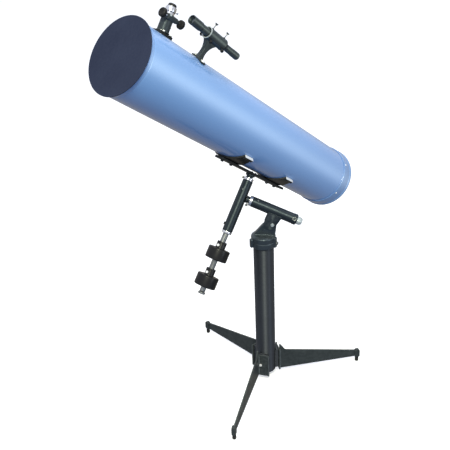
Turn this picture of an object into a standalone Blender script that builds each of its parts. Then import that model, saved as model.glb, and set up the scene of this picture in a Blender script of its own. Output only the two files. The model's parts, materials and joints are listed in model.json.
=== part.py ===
"""Newtonian reflector telescope on a German equatorial mount and a short three-legged pillar.

Metres, +Z up. The floor is z = 0 and the origin is the middle of the object's footprint.
The stand, the mount and the tube are built in a chain of frames: floor, polar axis,
declination axis, optical tube. Each moving piece hangs from an empty on its joint's axis.
"""

import math

import bmesh
import bpy
from mathutils import Matrix, Vector

# ---- driving dimensions -------------------------------------------------------------------
GAP = 0.0003  # clearance between pieces that touch
TUBE_STEPS = 56  # facets round the tube and what fits it
WIDE_STEPS = 32  # round the pillar, the housings and the weights
STEPS = 24  # round shafts, collars and small barrels
FINE_STEPS = 12  # round bolts, knobs and feet
SCREW_STEPS = 10

# Attitude of the mount
LATITUDE = math.radians(22.67)  # tilt of the polar axis
HOUR_ANGLE = math.radians(27.94)  # turn of the declination axis about the polar axis
DECLINATION = math.radians(38.9)  # aim of the tube above the celestial equator
LEG_AZIMUTHS = {"right": 22.7, "left": 142.7, "front": 262.7}

# Pillar's axis, from the middle of the footprint
PILLAR_X = 0.03306
PILLAR_Y = -0.00636

# Optical tube
TUBE_R = 0.120
TUBE_WALL = 0.0010
COVER_R = 0.1270
COVER_THICK = 0.0028
COVER_DEPTH = 0.0180
TUBE_FRONT = 0.7866  # mouth, ahead of the declination axis
TUBE_BACK = -0.4850
RING_BACK = -0.4955
RING_LENGTH = 0.060
RING_R = 0.1242
RING_LIP_R = 0.1260
MIRROR_R = 0.1015
MIRROR_THICK = 0.030
FOCAL_LENGTH = 1.27
SECONDARY_R = 0.025

# Focuser
FOCUSER_ANGLE = math.radians(2.0)
FOCUSER_Z = TUBE_FRONT - 0.1186
FOCUSER_R = 0.0195
FOCUSER_TOP = 0.186
FOCUSER_SEAT = 0.1300  # joint between base and body, from the tube's axis
DRAWTUBE_R = 0.0155
PINION_HEIGHT = 0.177
PINION_R = 0.0034
PINION_OFFSET = DRAWTUBE_R + PINION_R + GAP
KNOB_R = 0.0145
KNOB_SPAN = 0.043
KNOB_STEPS = 28
EYEPIECE_LOCK_ANGLE = -20
EYEPIECE_LOCK_Z = 0.2035

# Finder
FINDER_ANGLE = math.radians(-20)
FINDER_OFFSET = 0.2014
FINDER_Z = TUBE_FRONT - 0.265
FINDER_TILT = math.radians(2.55)
FOOT_Z = TUBE_FRONT - 0.2565
FOOT_NEAR = math.radians(22)
FOOT_FAR = math.radians(12)
SLEEVE_R = 0.0198
SLEEVE_HALF = 0.043
SCREW_ANGLES = (0, 120, 240)

# Saddle and cradles
BAR_LENGTH = 0.420
BAR_WIDTH = 0.038
BAR_THICK = 0.009
CRADLE_THICK = 0.006
CRADLE_FRONT_Z = 0.151
CRADLE_REAR_Z = -0.131

# Declination axis, measured from the polar axis
DEC_TO_TUBE = 0.2294
SHAFT_R = 0.0110
BORE_R = 0.0114
DEC_HOUSING_R = 0.0202
DEC_HOUSING_TOP = 0.0671
DEC_HOUSING_END = -0.1406
DEC_COLLAR_THICK = 0.0118
DEC_LOCK_ANGLE = 170
SHAFT_END = -0.4006
WEIGHT_R = 0.043
WEIGHT_THICK = 0.046
HUB_R = 0.019
HUB_THICK = 0.0275
WEIGHT_LOCK_ANGLE = 9
WEIGHT_LOCK_Z = 0.0110
UPPER_WEIGHT_Z = -0.2136
LOWER_WEIGHT_Z = -0.3246

# Polar axis, measured up from the pillar's axis
POLAR_HEIGHT = 0.8076
POLAR_TO_DEC = 0.0887
RA_HOUSING_R = 0.0206
RA_HOUSING_TOP = 0.0437
RA_HOUSING_END = -0.1405
RA_COLLAR_THICK = 0.0117
RA_LOCK_ANGLE = 210
WEDGE_X = -0.0492
WEDGE_Z = -0.0628
WEDGE_BOLT_R = 0.0050
LUG_R = 0.017
LUG_IN = 0.0135
LUG_OUT = 0.0200

# Pillar and legs
PILLAR_R = 0.0408
PILLAR_BOTTOM = 0.0345
PILLAR_TOP = 0.6770
COLLAR_R = 0.0485
COLLAR_BOTTOM = 0.6380
COLLAR_TOP = 0.6860
WEB_HALF = 0.0125
CLAMP_ANGLE = 338
CLAMP_HEIGHT = 0.660
LEG_REACH = 0.411
LEG_OFFSET = -0.020
LEG_THICK = 0.007
FLANGE_IN = 0.0505
FLANGE_OUT = 0.0585
FLANGE_HALF = 0.028

COLOURS = {
    "blue_paint": ((0.16, 0.33, 0.62), 0.30, 0.55),
    "navy_cover": ((0.045, 0.07, 0.15), 0.55, 0.0),
    "black_paint": ((0.035, 0.036, 0.040), 0.42, 0.0),
    "black_knob": ((0.020, 0.020, 0.022), 0.50, 0.0),
    "chrome": ((0.80, 0.80, 0.81), 0.12, 1.0),
    "bare_steel": ((0.55, 0.55, 0.56), 0.25, 1.0),
    "mirror_glass": ((0.85, 0.87, 0.90), 0.03, 1.0),
    "inner_black": ((0.012, 0.012, 0.013), 0.85, 0.0),
    "rubber": ((0.018, 0.018, 0.018), 0.85, 0.0),
}

parts = None
cutters = None
materials = {}


# ---- scene and frames ---------------------------------------------------------------------
def clear_scene():
    for old in list(bpy.data.objects):
        bpy.data.objects.remove(old, do_unlink=True)


def new_collection(name):
    collection = bpy.data.collections.new(name)
    bpy.context.scene.collection.children.link(collection)
    return collection


def make_materials():
    for name, (colour, roughness, metallic) in COLOURS.items():
        made = bpy.data.materials.new(name)
        made.use_nodes = True
        shader = made.node_tree.nodes["Principled BSDF"]
        shader.inputs["Base Color"].default_value = (*colour, 1)
        shader.inputs["Roughness"].default_value = roughness
        shader.inputs["Metallic"].default_value = metallic
        materials[name] = made


def shift(x=0.0, y=0.0, z=0.0):
    return Matrix.Translation((x, y, z))


def turn(angle, axis):
    return Matrix.Rotation(angle, 4, axis)


def pivot(name, matrix, parent=None):
    """An empty at matrix, which is in the parent's frame."""
    empty = bpy.data.objects.new(name, None)
    empty.empty_display_size = 0.03
    parts.objects.link(empty)
    empty.parent = parent
    empty.matrix_local = matrix
    return empty


def place(obj, parent, material, matrix=None):
    """Hangs obj from parent, at matrix in the parent's frame."""
    parts.objects.link(obj)
    obj.parent = parent
    obj.matrix_local = matrix if matrix is not None else Matrix()
    obj.data.materials.append(materials[material])


# ---- shapes -------------------------------------------------------------------------------
def object_from(name, bm):
    mesh = bpy.data.meshes.new(name)
    bm.to_mesh(mesh)
    bm.free()
    return bpy.data.objects.new(name, mesh)


def smooth(obj, angle=35):
    obj.data.shade_smooth()
    obj.data.set_sharp_from_angle(angle=math.radians(angle))


def turned(name, profile, steps=STEPS, ring=False):
    """A profile of (radius, height) turned about Z. It runs down its outer side; a ring closes."""
    bm = bmesh.new()
    points = [bm.verts.new((radius, 0, height)) for radius, height in profile]
    pairs = list(zip(points, points[1:]))
    if ring:
        pairs.append((points[-1], points[0]))
    for pair in pairs:
        bm.edges.new(pair)
    obj = object_from(name, bm)
    screw = obj.modifiers.new("turn", "SCREW")
    screw.steps = steps
    screw.render_steps = steps
    screw.use_merge_vertices = True
    screw.merge_threshold = 0.00001
    screw.use_smooth_shade = True
    return obj


def rod(name, radius, low, high, steps=STEPS, radius_high=None):
    """A cylinder or cone along Z from low to high."""
    bm = bmesh.new()
    bmesh.ops.create_cone(
        bm,
        cap_ends=True,
        segments=steps,
        radius1=radius,
        radius2=radius if radius_high is None else radius_high,
        depth=high - low,
        matrix=shift(z=(low + high) / 2),
    )
    obj = object_from(name, bm)
    smooth(obj)
    return obj


def box(name, low, high, bevel=0.0):
    """A box between two corners, with rounded edges where bevel is given."""
    bm = bmesh.new()
    size = [b - a for a, b in zip(low, high)]
    middle = [(a + b) / 2 for a, b in zip(low, high)]
    bmesh.ops.create_cube(bm, matrix=shift(*middle) @ Matrix.Diagonal((*size, 1)))
    obj = object_from(name, bm)
    if bevel:
        rounding = obj.modifiers.new("rounded edges", "BEVEL")
        rounding.width = bevel
        rounding.segments = 1
    return obj


def arc(cx, cy, radius, start, end, count=10):
    """Points on an arc, with its angles in degrees."""
    angles = [math.radians(start + (end - start) * i / count) for i in range(count + 1)]
    return [(cx + radius * math.cos(a), cy + radius * math.sin(a)) for a in angles]


def arc_through(start, middle, end, count=10):
    """Points on the circular arc from start to end that passes through middle."""
    (ax, ay), (bx, by), (cx, cy) = start, middle, end
    a2, b2, c2 = ax**2 + ay**2, bx**2 + by**2, cx**2 + cy**2
    d = 2 * (ax * (by - cy) + bx * (cy - ay) + cx * (ay - by))
    ox = (a2 * (by - cy) + b2 * (cy - ay) + c2 * (ay - by)) / d
    oy = (a2 * (cx - bx) + b2 * (ax - cx) + c2 * (bx - ax)) / d
    first, mid, last = (math.degrees(math.atan2(y - oy, x - ox)) for x, y in (start, middle, end))
    sweep = (last - first) % 360
    if (mid - first) % 360 > sweep:
        sweep -= 360
    return arc(ox, oy, math.hypot(ax - ox, ay - oy), first, first + sweep, count)


def plate(name, outline, low, high):
    """A flat outline in XY, extruded from z = low to high, as a welded mesh."""
    curve = bpy.data.curves.new(name, "CURVE")
    curve.dimensions = "2D"
    curve.fill_mode = "BOTH"
    curve.extrude = (high - low) / 2
    spline = curve.splines.new("POLY")
    spline.points.add(len(outline) - 1)
    for point, (x, y) in zip(spline.points, outline):
        point.co = (x, y, 0, 1)
    spline.use_cyclic_u = True
    guide = bpy.data.objects.new(name + "_guide", curve)
    bpy.context.scene.collection.objects.link(guide)
    graph = bpy.context.evaluated_depsgraph_get()
    mesh = bpy.data.meshes.new_from_object(guide.evaluated_get(graph))
    bpy.data.objects.remove(guide, do_unlink=True)
    bm = bmesh.new()
    bm.from_mesh(mesh)
    bmesh.ops.remove_doubles(bm, verts=bm.verts, dist=0.00001)
    bmesh.ops.recalc_face_normals(bm, faces=bm.faces)
    bmesh.ops.translate(bm, verts=bm.verts, vec=(0, 0, (low + high) / 2))
    bm.to_mesh(mesh)
    bm.free()
    mesh.name = name
    return bpy.data.objects.new(name, mesh)


# Extrudes a plate's XY outline along Y: x stays x, y becomes z.
UPRIGHT = turn(math.pi / 2, "X")


def combine(obj, other, operation, matrix=None):
    """Adds a Boolean with other, which is placed in obj's own frame and hidden."""
    cutters.objects.link(other)
    other.parent = obj
    other.matrix_local = matrix if matrix is not None else Matrix()
    other.hide_render = True
    other.display_type = "WIRE"
    boolean = obj.modifiers.new(operation.lower(), "BOOLEAN")
    boolean.operation = operation
    boolean.object = other
    boolean.solver = "EXACT"
    return obj


def cut(obj, other, matrix=None):
    return combine(obj, other, "DIFFERENCE", matrix)


def weld(obj, other, matrix=None):
    return combine(obj, other, "UNION", matrix)


def across(angle, height=0.0):
    """A frame whose Z points sideways from the axis, at angle in degrees and the given height."""
    return shift(z=height) @ turn(math.radians(angle), "Z") @ turn(math.pi / 2, "Y")


def thumb_screw(name, parent, material, inner, outer, head_r, head_thick, stem_r=0.0015):
    """A screw along Z: its stem from inner to outer, and its head at the outer end."""
    profile = [
        (0, outer + head_thick),
        (head_r * 0.85, outer + head_thick),
        (head_r, outer + head_thick * 0.8),
        (head_r, outer + head_thick * 0.2),
        (head_r * 0.85, outer),
        (stem_r, outer),
        (stem_r, inner),
        (0, inner),
    ]
    place(turned(name, profile, SCREW_STEPS), parent, material)


# ---- pillar and legs ----------------------------------------------------------------------
def build_stand(stand):
    pillar = turned(
        "pillar",
        [
            (0, PILLAR_TOP),
            (PILLAR_R, PILLAR_TOP),
            (PILLAR_R, PILLAR_BOTTOM),
            (PILLAR_R - 0.003, PILLAR_BOTTOM),
            (PILLAR_R - 0.003, PILLAR_TOP - 0.004),
            (0, PILLAR_TOP - 0.004),
        ],
        WIDE_STEPS,
    )
    place(pillar, stand, "black_paint")
    for name, azimuth in LEG_AZIMUTHS.items():
        frame = turn(math.radians(azimuth), "Z")
        pad = box(
            f"leg_pad_{name}",
            (PILLAR_R - 0.0015, -0.022, 0.040),
            (FLANGE_IN - GAP, 0.022, 0.134),
        )
        weld(pillar, pad, frame)
        build_leg(name, pivot(f"leg_frame_{name}", frame, stand))


def build_leg(name, frame):
    outline = [
        (FLANGE_OUT - 0.002, 0.034),
        (LEG_REACH - 0.012, 0.026),
        (LEG_REACH - 0.012, 0.0580),
        (0.082, 0.126),
        (FLANGE_OUT + 0.004, 0.158),
        (FLANGE_OUT - 0.002, 0.158),
    ]
    half = LEG_THICK / 2
    leg = plate(f"leg_{name}", outline, -half, half)
    place(leg, frame, "black_paint", shift(y=LEG_OFFSET) @ UPRIGHT)
    into_leg = (shift(y=LEG_OFFSET) @ UPRIGHT).inverted()
    flange = box(
        f"leg_flange_{name}",
        (FLANGE_IN, -FLANGE_HALF, 0.028),
        (FLANGE_OUT, FLANGE_HALF, 0.140),
    )
    weld(leg, flange, into_leg)
    end = box(
        f"leg_end_{name}",
        (LEG_REACH - 0.014, LEG_OFFSET - 0.008, 0.0220),
        (LEG_REACH + 0.009, LEG_OFFSET + 0.008, 0.0605),
        0.0015,
    )
    weld(leg, end, into_leg)
    foot = turned(
        f"foot_{name}",
        [(0, 0.0217), (0.0070, 0.0217), (0.0078, 0.0190), (0.0085, 0.0020), (0.0075, 0), (0, 0)],
        FINE_STEPS,
    )
    place(foot, frame, "rubber", shift(LEG_REACH - 0.0025, LEG_OFFSET))


def build_head(head):
    """The clamp collar that turns on the pillar, with the web that holds the wedge bolt."""
    casting = turned(
        "pillar_head",
        [
            (0, COLLAR_TOP),
            (COLLAR_R - 0.003, COLLAR_TOP),
            (COLLAR_R, COLLAR_TOP - 0.004),
            (COLLAR_R, COLLAR_BOTTOM + 0.002),
            (COLLAR_R - 0.0015, COLLAR_BOTTOM),
            (PILLAR_R + GAP, COLLAR_BOTTOM),
            (PILLAR_R + GAP, PILLAR_TOP + GAP),
            (0, PILLAR_TOP + GAP),
        ],
        WIDE_STEPS,
    )
    place(casting, head, "black_paint")
    bolt_x, bolt_z = wedge_point()
    web = [(-0.036, 0.684), (-0.034, 0.6920), (-0.004, 0.7285), (bolt_x - 0.0155, bolt_z + 0.0045)]
    web += arc(bolt_x, bolt_z, 0.0160, 160, 20, 8)
    web += [(0.0500, 0.7085), (0.0460, 0.684)]
    weld(casting, plate("head_web", web, -WEB_HALF, WEB_HALF), UPRIGHT)
    for name, azimuth, top in (("left", 213, 0.6760), ("right", CLAMP_ANGLE, 0.6840)):
        ear = box(f"head_ear_{name}", (0.044, -0.008, 0.6400), (0.0575, 0.008, top), 0.002)
        weld(casting, ear, turn(math.radians(azimuth), "Z"))
    hole = rod("wedge_bolt_hole", WEDGE_BOLT_R + GAP, -0.03, 0.03, FINE_STEPS)
    cut(casting, hole, shift(bolt_x, 0, bolt_z) @ UPRIGHT)
    tapping = rod("head_screw_hole", 0.0036, 0.040, 0.060, FINE_STEPS)
    clamp = across(CLAMP_ANGLE, CLAMP_HEIGHT)
    cut(casting, tapping, clamp)
    axis = pivot("azimuth_screw_axis", clamp, head)
    thumb_screw("azimuth_clamp_screw", axis, "bare_steel", 0.0418, 0.0580, 0.0065, 0.006, 0.0032)
    profile = [
        (0, 0.0300),
        (0.0070, 0.0300),
        (0.0085, 0.0285),
        (0.0085, 0.0222),
        (WEDGE_BOLT_R, 0.0222),
        (WEDGE_BOLT_R, -0.0222),
        (0.0085, -0.0222),
        (0.0085, -0.0290),
        (0, -0.0290),
    ]
    bolt = turned("latitude_bolt", profile, FINE_STEPS)
    place(bolt, head, "bare_steel", shift(bolt_x, 0, bolt_z) @ UPRIGHT)


def wedge_point():
    """The wedge bolt's place in the upright plane of the polar axis: x, and height over the floor."""
    point = polar_frame() @ Vector((WEDGE_X, 0, WEDGE_Z))
    return point.x, point.z


def polar_frame():
    """Z runs up the polar axis, X is upwards and square to it."""
    return shift(z=POLAR_HEIGHT) @ turn(LATITUDE - math.pi / 2, "Y")


# ---- polar axis ---------------------------------------------------------------------------
def build_ra_housing(wedge):
    """The polar housing, whose two lugs straddle the head's web."""
    housing = turned(
        "ra_housing",
        [
            (RA_HOUSING_R - 0.0012, RA_HOUSING_TOP),
            (RA_HOUSING_R, RA_HOUSING_TOP - 0.0012),
            (RA_HOUSING_R, RA_HOUSING_END + 0.0155),
            (RA_HOUSING_R + 0.0008, RA_HOUSING_END + 0.0145),
            (RA_HOUSING_R + 0.0008, RA_HOUSING_END + 0.0020),
            (RA_HOUSING_R - 0.0010, RA_HOUSING_END),
            (BORE_R, RA_HOUSING_END),
            (BORE_R, RA_HOUSING_TOP),
        ],
        WIDE_STEPS,
        ring=True,
    )
    place(housing, wedge, "black_paint", shift(-WEDGE_X, 0, -WEDGE_Z))
    lug = [(-0.0135, -0.0290), (WEDGE_X - 0.0080, -0.0285)]
    lug += arc(WEDGE_X - 0.0080, -0.0455, LUG_R, 90, 180, 6)
    lug += arc(WEDGE_X - 0.0080, -0.0605, LUG_R, 180, 270, 6)
    lug += [(WEDGE_X + 0.0020, -0.0775), (-0.0135, -0.0840)]
    for name, low, high in (("near", LUG_IN, LUG_OUT), ("far", -LUG_OUT, -LUG_IN)):
        cheek = plate(f"ra_lug_{name}", lug, low, high)
        weld(housing, cheek, UPRIGHT)
    hole = rod("lug_hole", WEDGE_BOLT_R + GAP, -0.03, 0.03, FINE_STEPS)
    cut(housing, hole, shift(WEDGE_X, 0, WEDGE_Z) @ UPRIGHT)


def build_ra_shaft(polar):
    flange_top = POLAR_TO_DEC - DEC_HOUSING_R - GAP
    neck_low = RA_HOUSING_TOP + RA_COLLAR_THICK
    shaft = turned(
        "ra_shaft",
        [
            (0, flange_top),
            (0.0150, flange_top),
            (0.0150, flange_top - 0.003),
            (0.0135, flange_top - 0.005),
            (0.0135, neck_low),
            (SHAFT_R, neck_low),
            (SHAFT_R, RA_HOUSING_END - 0.0180),
            (0, RA_HOUSING_END - 0.0180),
        ],
    )
    place(shaft, polar, "bare_steel")
    collar = turned(
        "ra_collar",
        [
            (0.0195, neck_low - GAP),
            (0.0207, neck_low - 0.0015),
            (0.0207, RA_HOUSING_TOP + GAP + 0.001),
            (0.0197, RA_HOUSING_TOP + GAP),
            (BORE_R, RA_HOUSING_TOP + GAP),
            (BORE_R, neck_low - GAP),
        ],
        ring=True,
    )
    place(collar, polar, "chrome")
    nut = turned(
        "ra_end_nut",
        [
            (BORE_R, RA_HOUSING_END - GAP),
            (0.0145, RA_HOUSING_END - GAP),
            (0.0155, RA_HOUSING_END - 0.0020),
            (0.0155, RA_HOUSING_END - 0.0120),
            (0.0120, RA_HOUSING_END - 0.0205),
            (0, RA_HOUSING_END - 0.0220),
            (0, RA_HOUSING_END - 0.0185),
            (BORE_R, RA_HOUSING_END - 0.0185),
            (BORE_R, RA_HOUSING_END - GAP),
        ],
    )
    place(nut, polar, "chrome")
    axis = pivot("ra_lock_axis", across(RA_LOCK_ANGLE, POLAR_TO_DEC - 0.0290), polar)
    thumb_screw("ra_lock_screw", axis, "bare_steel", 0.0139, 0.0215, 0.0048, 0.006, 0.0022)


# ---- declination axis ---------------------------------------------------------------------
def build_dec_housing(dec):
    housing = turned(
        "dec_housing",
        [
            (DEC_HOUSING_R - 0.0012, DEC_HOUSING_TOP),
            (DEC_HOUSING_R, DEC_HOUSING_TOP - 0.0012),
            (DEC_HOUSING_R, DEC_HOUSING_END + 0.0012),
            (DEC_HOUSING_R - 0.0012, DEC_HOUSING_END),
            (BORE_R, DEC_HOUSING_END),
            (BORE_R, DEC_HOUSING_TOP),
        ],
        WIDE_STEPS,
        ring=True,
    )
    place(housing, dec, "black_paint")
    for name, high, low in (
        ("dec_collar", DEC_HOUSING_TOP + DEC_COLLAR_THICK, DEC_HOUSING_TOP + GAP),
        ("dec_end_ring", DEC_HOUSING_END - GAP, DEC_HOUSING_END - 0.0100),
    ):
        ring = turned(
            name,
            [
                (0.0186, high),
                (0.0198, high - 0.0014),
                (0.0198, low + 0.0014),
                (0.0186, low),
                (BORE_R, low),
                (BORE_R, high),
            ],
            WIDE_STEPS,
            ring=True,
        )
        place(ring, dec, "chrome")
    collar = bpy.data.objects["dec_collar"]
    sideways = across(DEC_LOCK_ANGLE, DEC_HOUSING_TOP + 0.006)
    cut(collar, rod("dec_lock_hole", 0.0026, 0.010, 0.024, FINE_STEPS), sideways)
    axis = pivot("dec_lock_axis", sideways, dec)
    thumb_screw("dec_lock_screw", axis, "bare_steel", 0.0120, 0.0215, 0.0048, 0.006, 0.0022)


def build_dec_shaft(axis):
    """Flange, neck and counterweight shaft in one piece, which carries the saddle."""
    bar_bottom = DEC_TO_TUBE - TUBE_R - CRADLE_THICK - BAR_THICK - 3 * GAP
    flange_low = bar_bottom - GAP - 0.006
    neck_low = DEC_HOUSING_TOP + DEC_COLLAR_THICK + GAP
    shaft = turned(
        "dec_shaft",
        [
            (0, bar_bottom - GAP),
            (0.0185, bar_bottom - GAP),
            (0.0185, flange_low),
            (0.0130, flange_low - 0.002),
            (0.0130, neck_low),
            (SHAFT_R, neck_low),
            (SHAFT_R, SHAFT_END + 0.010),
            (0.0070, SHAFT_END + 0.008),
            (0.0070, SHAFT_END),
            (0, SHAFT_END),
        ],
    )
    place(shaft, axis, "bare_steel")
    stop = turned(
        "shaft_end_stop",
        [
            (0.0130, SHAFT_END + 0.0077),
            (0.0140, SHAFT_END + 0.0065),
            (0.0140, SHAFT_END + 0.0010),
            (0.0130, SHAFT_END - 0.0010),
            (0.0073, SHAFT_END - 0.0010),
            (0.0073, SHAFT_END + 0.0077),
        ],
        ring=True,
    )
    place(stop, axis, "bare_steel")


def build_weight(which, axis, height):
    """A disc with a clamping hub on its upper side. height is where the two meet."""
    slide = pivot(f"{which}_weight_slide", shift(z=height), axis)
    weight = turned(
        f"{which}_weight",
        [
            (HUB_R - 0.001, HUB_THICK),
            (HUB_R, HUB_THICK - 0.001),
            (HUB_R, 0),
            (WEIGHT_R - 0.0025, 0),
            (WEIGHT_R, -0.0025),
            (WEIGHT_R, -WEIGHT_THICK + 0.0025),
            (WEIGHT_R - 0.0025, -WEIGHT_THICK),
            (BORE_R, -WEIGHT_THICK),
            (BORE_R, HUB_THICK),
        ],
        WIDE_STEPS,
        ring=True,
    )
    place(weight, slide, "black_paint")
    sideways = across(WEIGHT_LOCK_ANGLE, WEIGHT_LOCK_Z)
    cut(weight, rod(f"{which}_weight_hole", 0.0032, 0.008, 0.024, FINE_STEPS), sideways)
    lock = pivot(f"{which}_weight_lock_axis", sideways, slide)
    thumb_screw(f"{which}_weight_lock", lock, "bare_steel", 0.0118, 0.0205, 0.0055, 0.005, 0.0028)


# ---- optical tube -------------------------------------------------------------------------
def build_saddle(tube):
    bar_top = -(TUBE_R + CRADLE_THICK + 2 * GAP)
    bar = box(
        "saddle_bar",
        (bar_top - BAR_THICK, -BAR_WIDTH / 2, -BAR_LENGTH / 2),
        (bar_top, BAR_WIDTH / 2, BAR_LENGTH / 2),
        0.0015,
    )
    place(bar, tube, "black_paint")
    for name, height in (("cradle_front", CRADLE_FRONT_Z), ("cradle_rear", CRADLE_REAR_Z)):
        inner = TUBE_R + GAP
        outer = inner + CRADLE_THICK
        band = [(outer, 0.058), (outer, -0.058), (inner, -0.058), (inner, 0.058)]
        cradle = turned(name, band, TUBE_STEPS, ring=True)
        place(cradle, tube, "black_paint", shift(z=height))
        outline = [(-0.025, 0.0775), (-0.055, 0.020), (-0.055, -0.020), (-0.025, -0.0775)]
        outline += [(0.025, -0.0775), (0.055, -0.020), (0.055, 0.020), (0.025, 0.0775)]
        keep = plate(f"{name}_shape", outline, 0.060, 0.140)
        combine(cradle, keep, "INTERSECT", turn(-math.pi / 2, "Y"))
        for side, angle in (("near", 219.5), ("far", 140.5)):
            ear = box(
                f"{name}_ear_{side}",
                (inner + 0.001, -0.005, -0.0235),
                (inner + 0.0125, 0.005, 0.0235),
                0.001,
            )
            weld(cradle, ear, turn(math.radians(angle), "Z"))


def build_tube(tube):
    inner = TUBE_R - TUBE_WALL
    shell = turned(
        "tube_shell",
        [(TUBE_R, TUBE_FRONT), (TUBE_R, TUBE_BACK), (inner, TUBE_BACK), (inner, TUBE_FRONT)],
        TUBE_STEPS,
        ring=True,
    )
    place(shell, tube, "blue_paint")
    port = rod("drawtube_hole", DRAWTUBE_R + 0.004, 0.10, 0.14)
    cut(shell, port, turn(FOCUSER_ANGLE, "Z") @ across(0, FOCUSER_Z))
    ring = turned(
        "rear_ring",
        [
            (RING_R, RING_BACK + RING_LENGTH),
            (RING_R, RING_BACK + 0.0075),
            (RING_LIP_R, RING_BACK + 0.0060),
            (RING_LIP_R, RING_BACK),
            (0.1080, RING_BACK),
            (0.1080, TUBE_BACK - GAP),
            (TUBE_R + GAP, TUBE_BACK - GAP),
            (TUBE_R + GAP, RING_BACK + RING_LENGTH),
        ],
        TUBE_STEPS,
        ring=True,
    )
    place(ring, tube, "blue_paint")
    face = TUBE_FRONT + COVER_THICK
    cover = turned(
        "dust_cover",
        [
            (0, face),
            (COVER_R - 0.0008, face),
            (COVER_R, face - 0.0008),
            (COVER_R, TUBE_FRONT + GAP),
            (inner - 0.0006, TUBE_FRONT + GAP),
            (inner - 0.0006, TUBE_FRONT - COVER_DEPTH),
            (inner - 0.0021, TUBE_FRONT - COVER_DEPTH),
            (inner - 0.0021, TUBE_FRONT + GAP),
            (0, TUBE_FRONT + GAP),
        ],
        TUBE_STEPS,
    )
    axis = pivot("dust_cover_slide", Matrix(), tube)
    place(cover, axis, "navy_cover")


def build_primary(tube):
    """Rear cell, floating support with its clips, the primary mirror and three collimation knobs."""
    cell_low = TUBE_BACK + GAP
    cell = turned(
        "mirror_cell",
        [
            (TUBE_R - TUBE_WALL - 0.0005, cell_low + 0.006),
            (TUBE_R - TUBE_WALL - 0.0005, cell_low),
            (0.020, cell_low),
            (0.020, cell_low + 0.006),
        ],
        WIDE_STEPS,
        ring=True,
    )
    place(cell, tube, "inner_black")
    support_low = cell_low + 0.0140
    support = turned(
        "mirror_support",
        [
            (0, support_low + 0.006),
            (0.1060, support_low + 0.006),
            (0.1060, support_low),
            (0, support_low),
        ],
        WIDE_STEPS,
    )
    place(support, tube, "inner_black")
    mirror_low = support_low + 0.006 + GAP
    for i in range(3):
        angle = turn(math.radians(60 + 120 * i), "Z")
        stop = mirror_low + MIRROR_THICK
        clip = box(
            f"mirror_clip_{i + 1}",
            (MIRROR_R + 0.0006, -0.008, support_low + 0.003),
            (MIRROR_R + 0.0030, 0.008, stop + 0.003),
        )
        weld(support, clip, angle)
        tip = box(
            f"mirror_clip_tip_{i + 1}",
            (MIRROR_R - 0.006, -0.0072, stop + 0.0004),
            (MIRROR_R + 0.0022, 0.0072, stop + 0.0024),
        )
        weld(support, tip, angle)
        vent = rod(f"cell_vent_{i + 1}", 0.022, -0.02, 0.02, FINE_STEPS)
        cut(cell, vent, angle @ shift(0.072, 0, cell_low))
        cut(cell, rod(f"cell_hole_{i + 1}", 0.0038, -0.02, 0.02, FINE_STEPS), knob_place(i, cell_low))
    curve_r = 2 * FOCAL_LENGTH
    middle = mirror_low + MIRROR_THICK - sagitta(curve_r, MIRROR_R)
    radii = [MIRROR_R * share for share in (0, 0.35, 0.6, 0.8, 1)]
    face = [(radius, middle + sagitta(curve_r, radius)) for radius in radii]
    mirror = turned("primary_mirror", face + [(MIRROR_R, mirror_low), (0, mirror_low)], WIDE_STEPS)
    place(mirror, tube, "mirror_glass")
    for i in range(3):
        axis = pivot(f"collimation_axis_{i + 1}", knob_place(i, cell_low), tube)
        knob = turned(
            f"collimation_knob_{i + 1}",
            [
                (0, 0.0140 - GAP),
                (0.0030, 0.0140 - GAP),
                (0.0030, -GAP),
                (0.0085, -GAP),
                (0.0095, -0.0020),
                (0.0095, -0.0120),
                (0.0080, -0.0140),
                (0, -0.0140),
            ],
            STEPS,
        )
        place(knob, axis, "black_knob")


def knob_place(i, height):
    return turn(math.radians(120 * i), "Z") @ shift(0.082, 0, height)


def sagitta(curve_r, radius):
    return curve_r - math.sqrt(curve_r**2 - radius**2)


def build_secondary(tube):
    """The spider's four vanes, the angled holder and the flat mirror that faces the focuser."""
    hub_low = FOCUSER_Z + 0.034
    spider = rod("spider", 0.014, hub_low, hub_low + 0.024)
    place(spider, tube, "inner_black")
    reach = TUBE_R - TUBE_WALL - 0.0004
    for i, angle in enumerate((45, 135)):
        low, high = (-reach, -0.0005, hub_low + 0.001), (reach, 0.0005, hub_low + 0.023)
        vane = box(f"spider_vane_{i + 1}", low, high)
        weld(spider, vane, turn(math.radians(angle), "Z"))
    slant = shift(z=FOCUSER_Z) @ turn(FOCUSER_ANGLE, "Z") @ turn(math.radians(135), "Y")
    holder = rod("secondary_holder", 0.0235, FOCUSER_Z - 0.030, hub_low - GAP)
    place(holder, tube, "inner_black")
    cut(holder, box("holder_slope", (-0.08, -0.05, -0.006 - GAP), (0.08, 0.05, 0.09)), slant)
    mirror = rod("secondary_mirror", SECONDARY_R, FOCUSER_Z - 0.05, FOCUSER_Z + 0.05)
    place(mirror, tube, "mirror_glass")
    combine(mirror, box("mirror_slab", (-0.08, -0.05, -0.006), (0.08, 0.05, 0)), "INTERSECT", slant)


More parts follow.
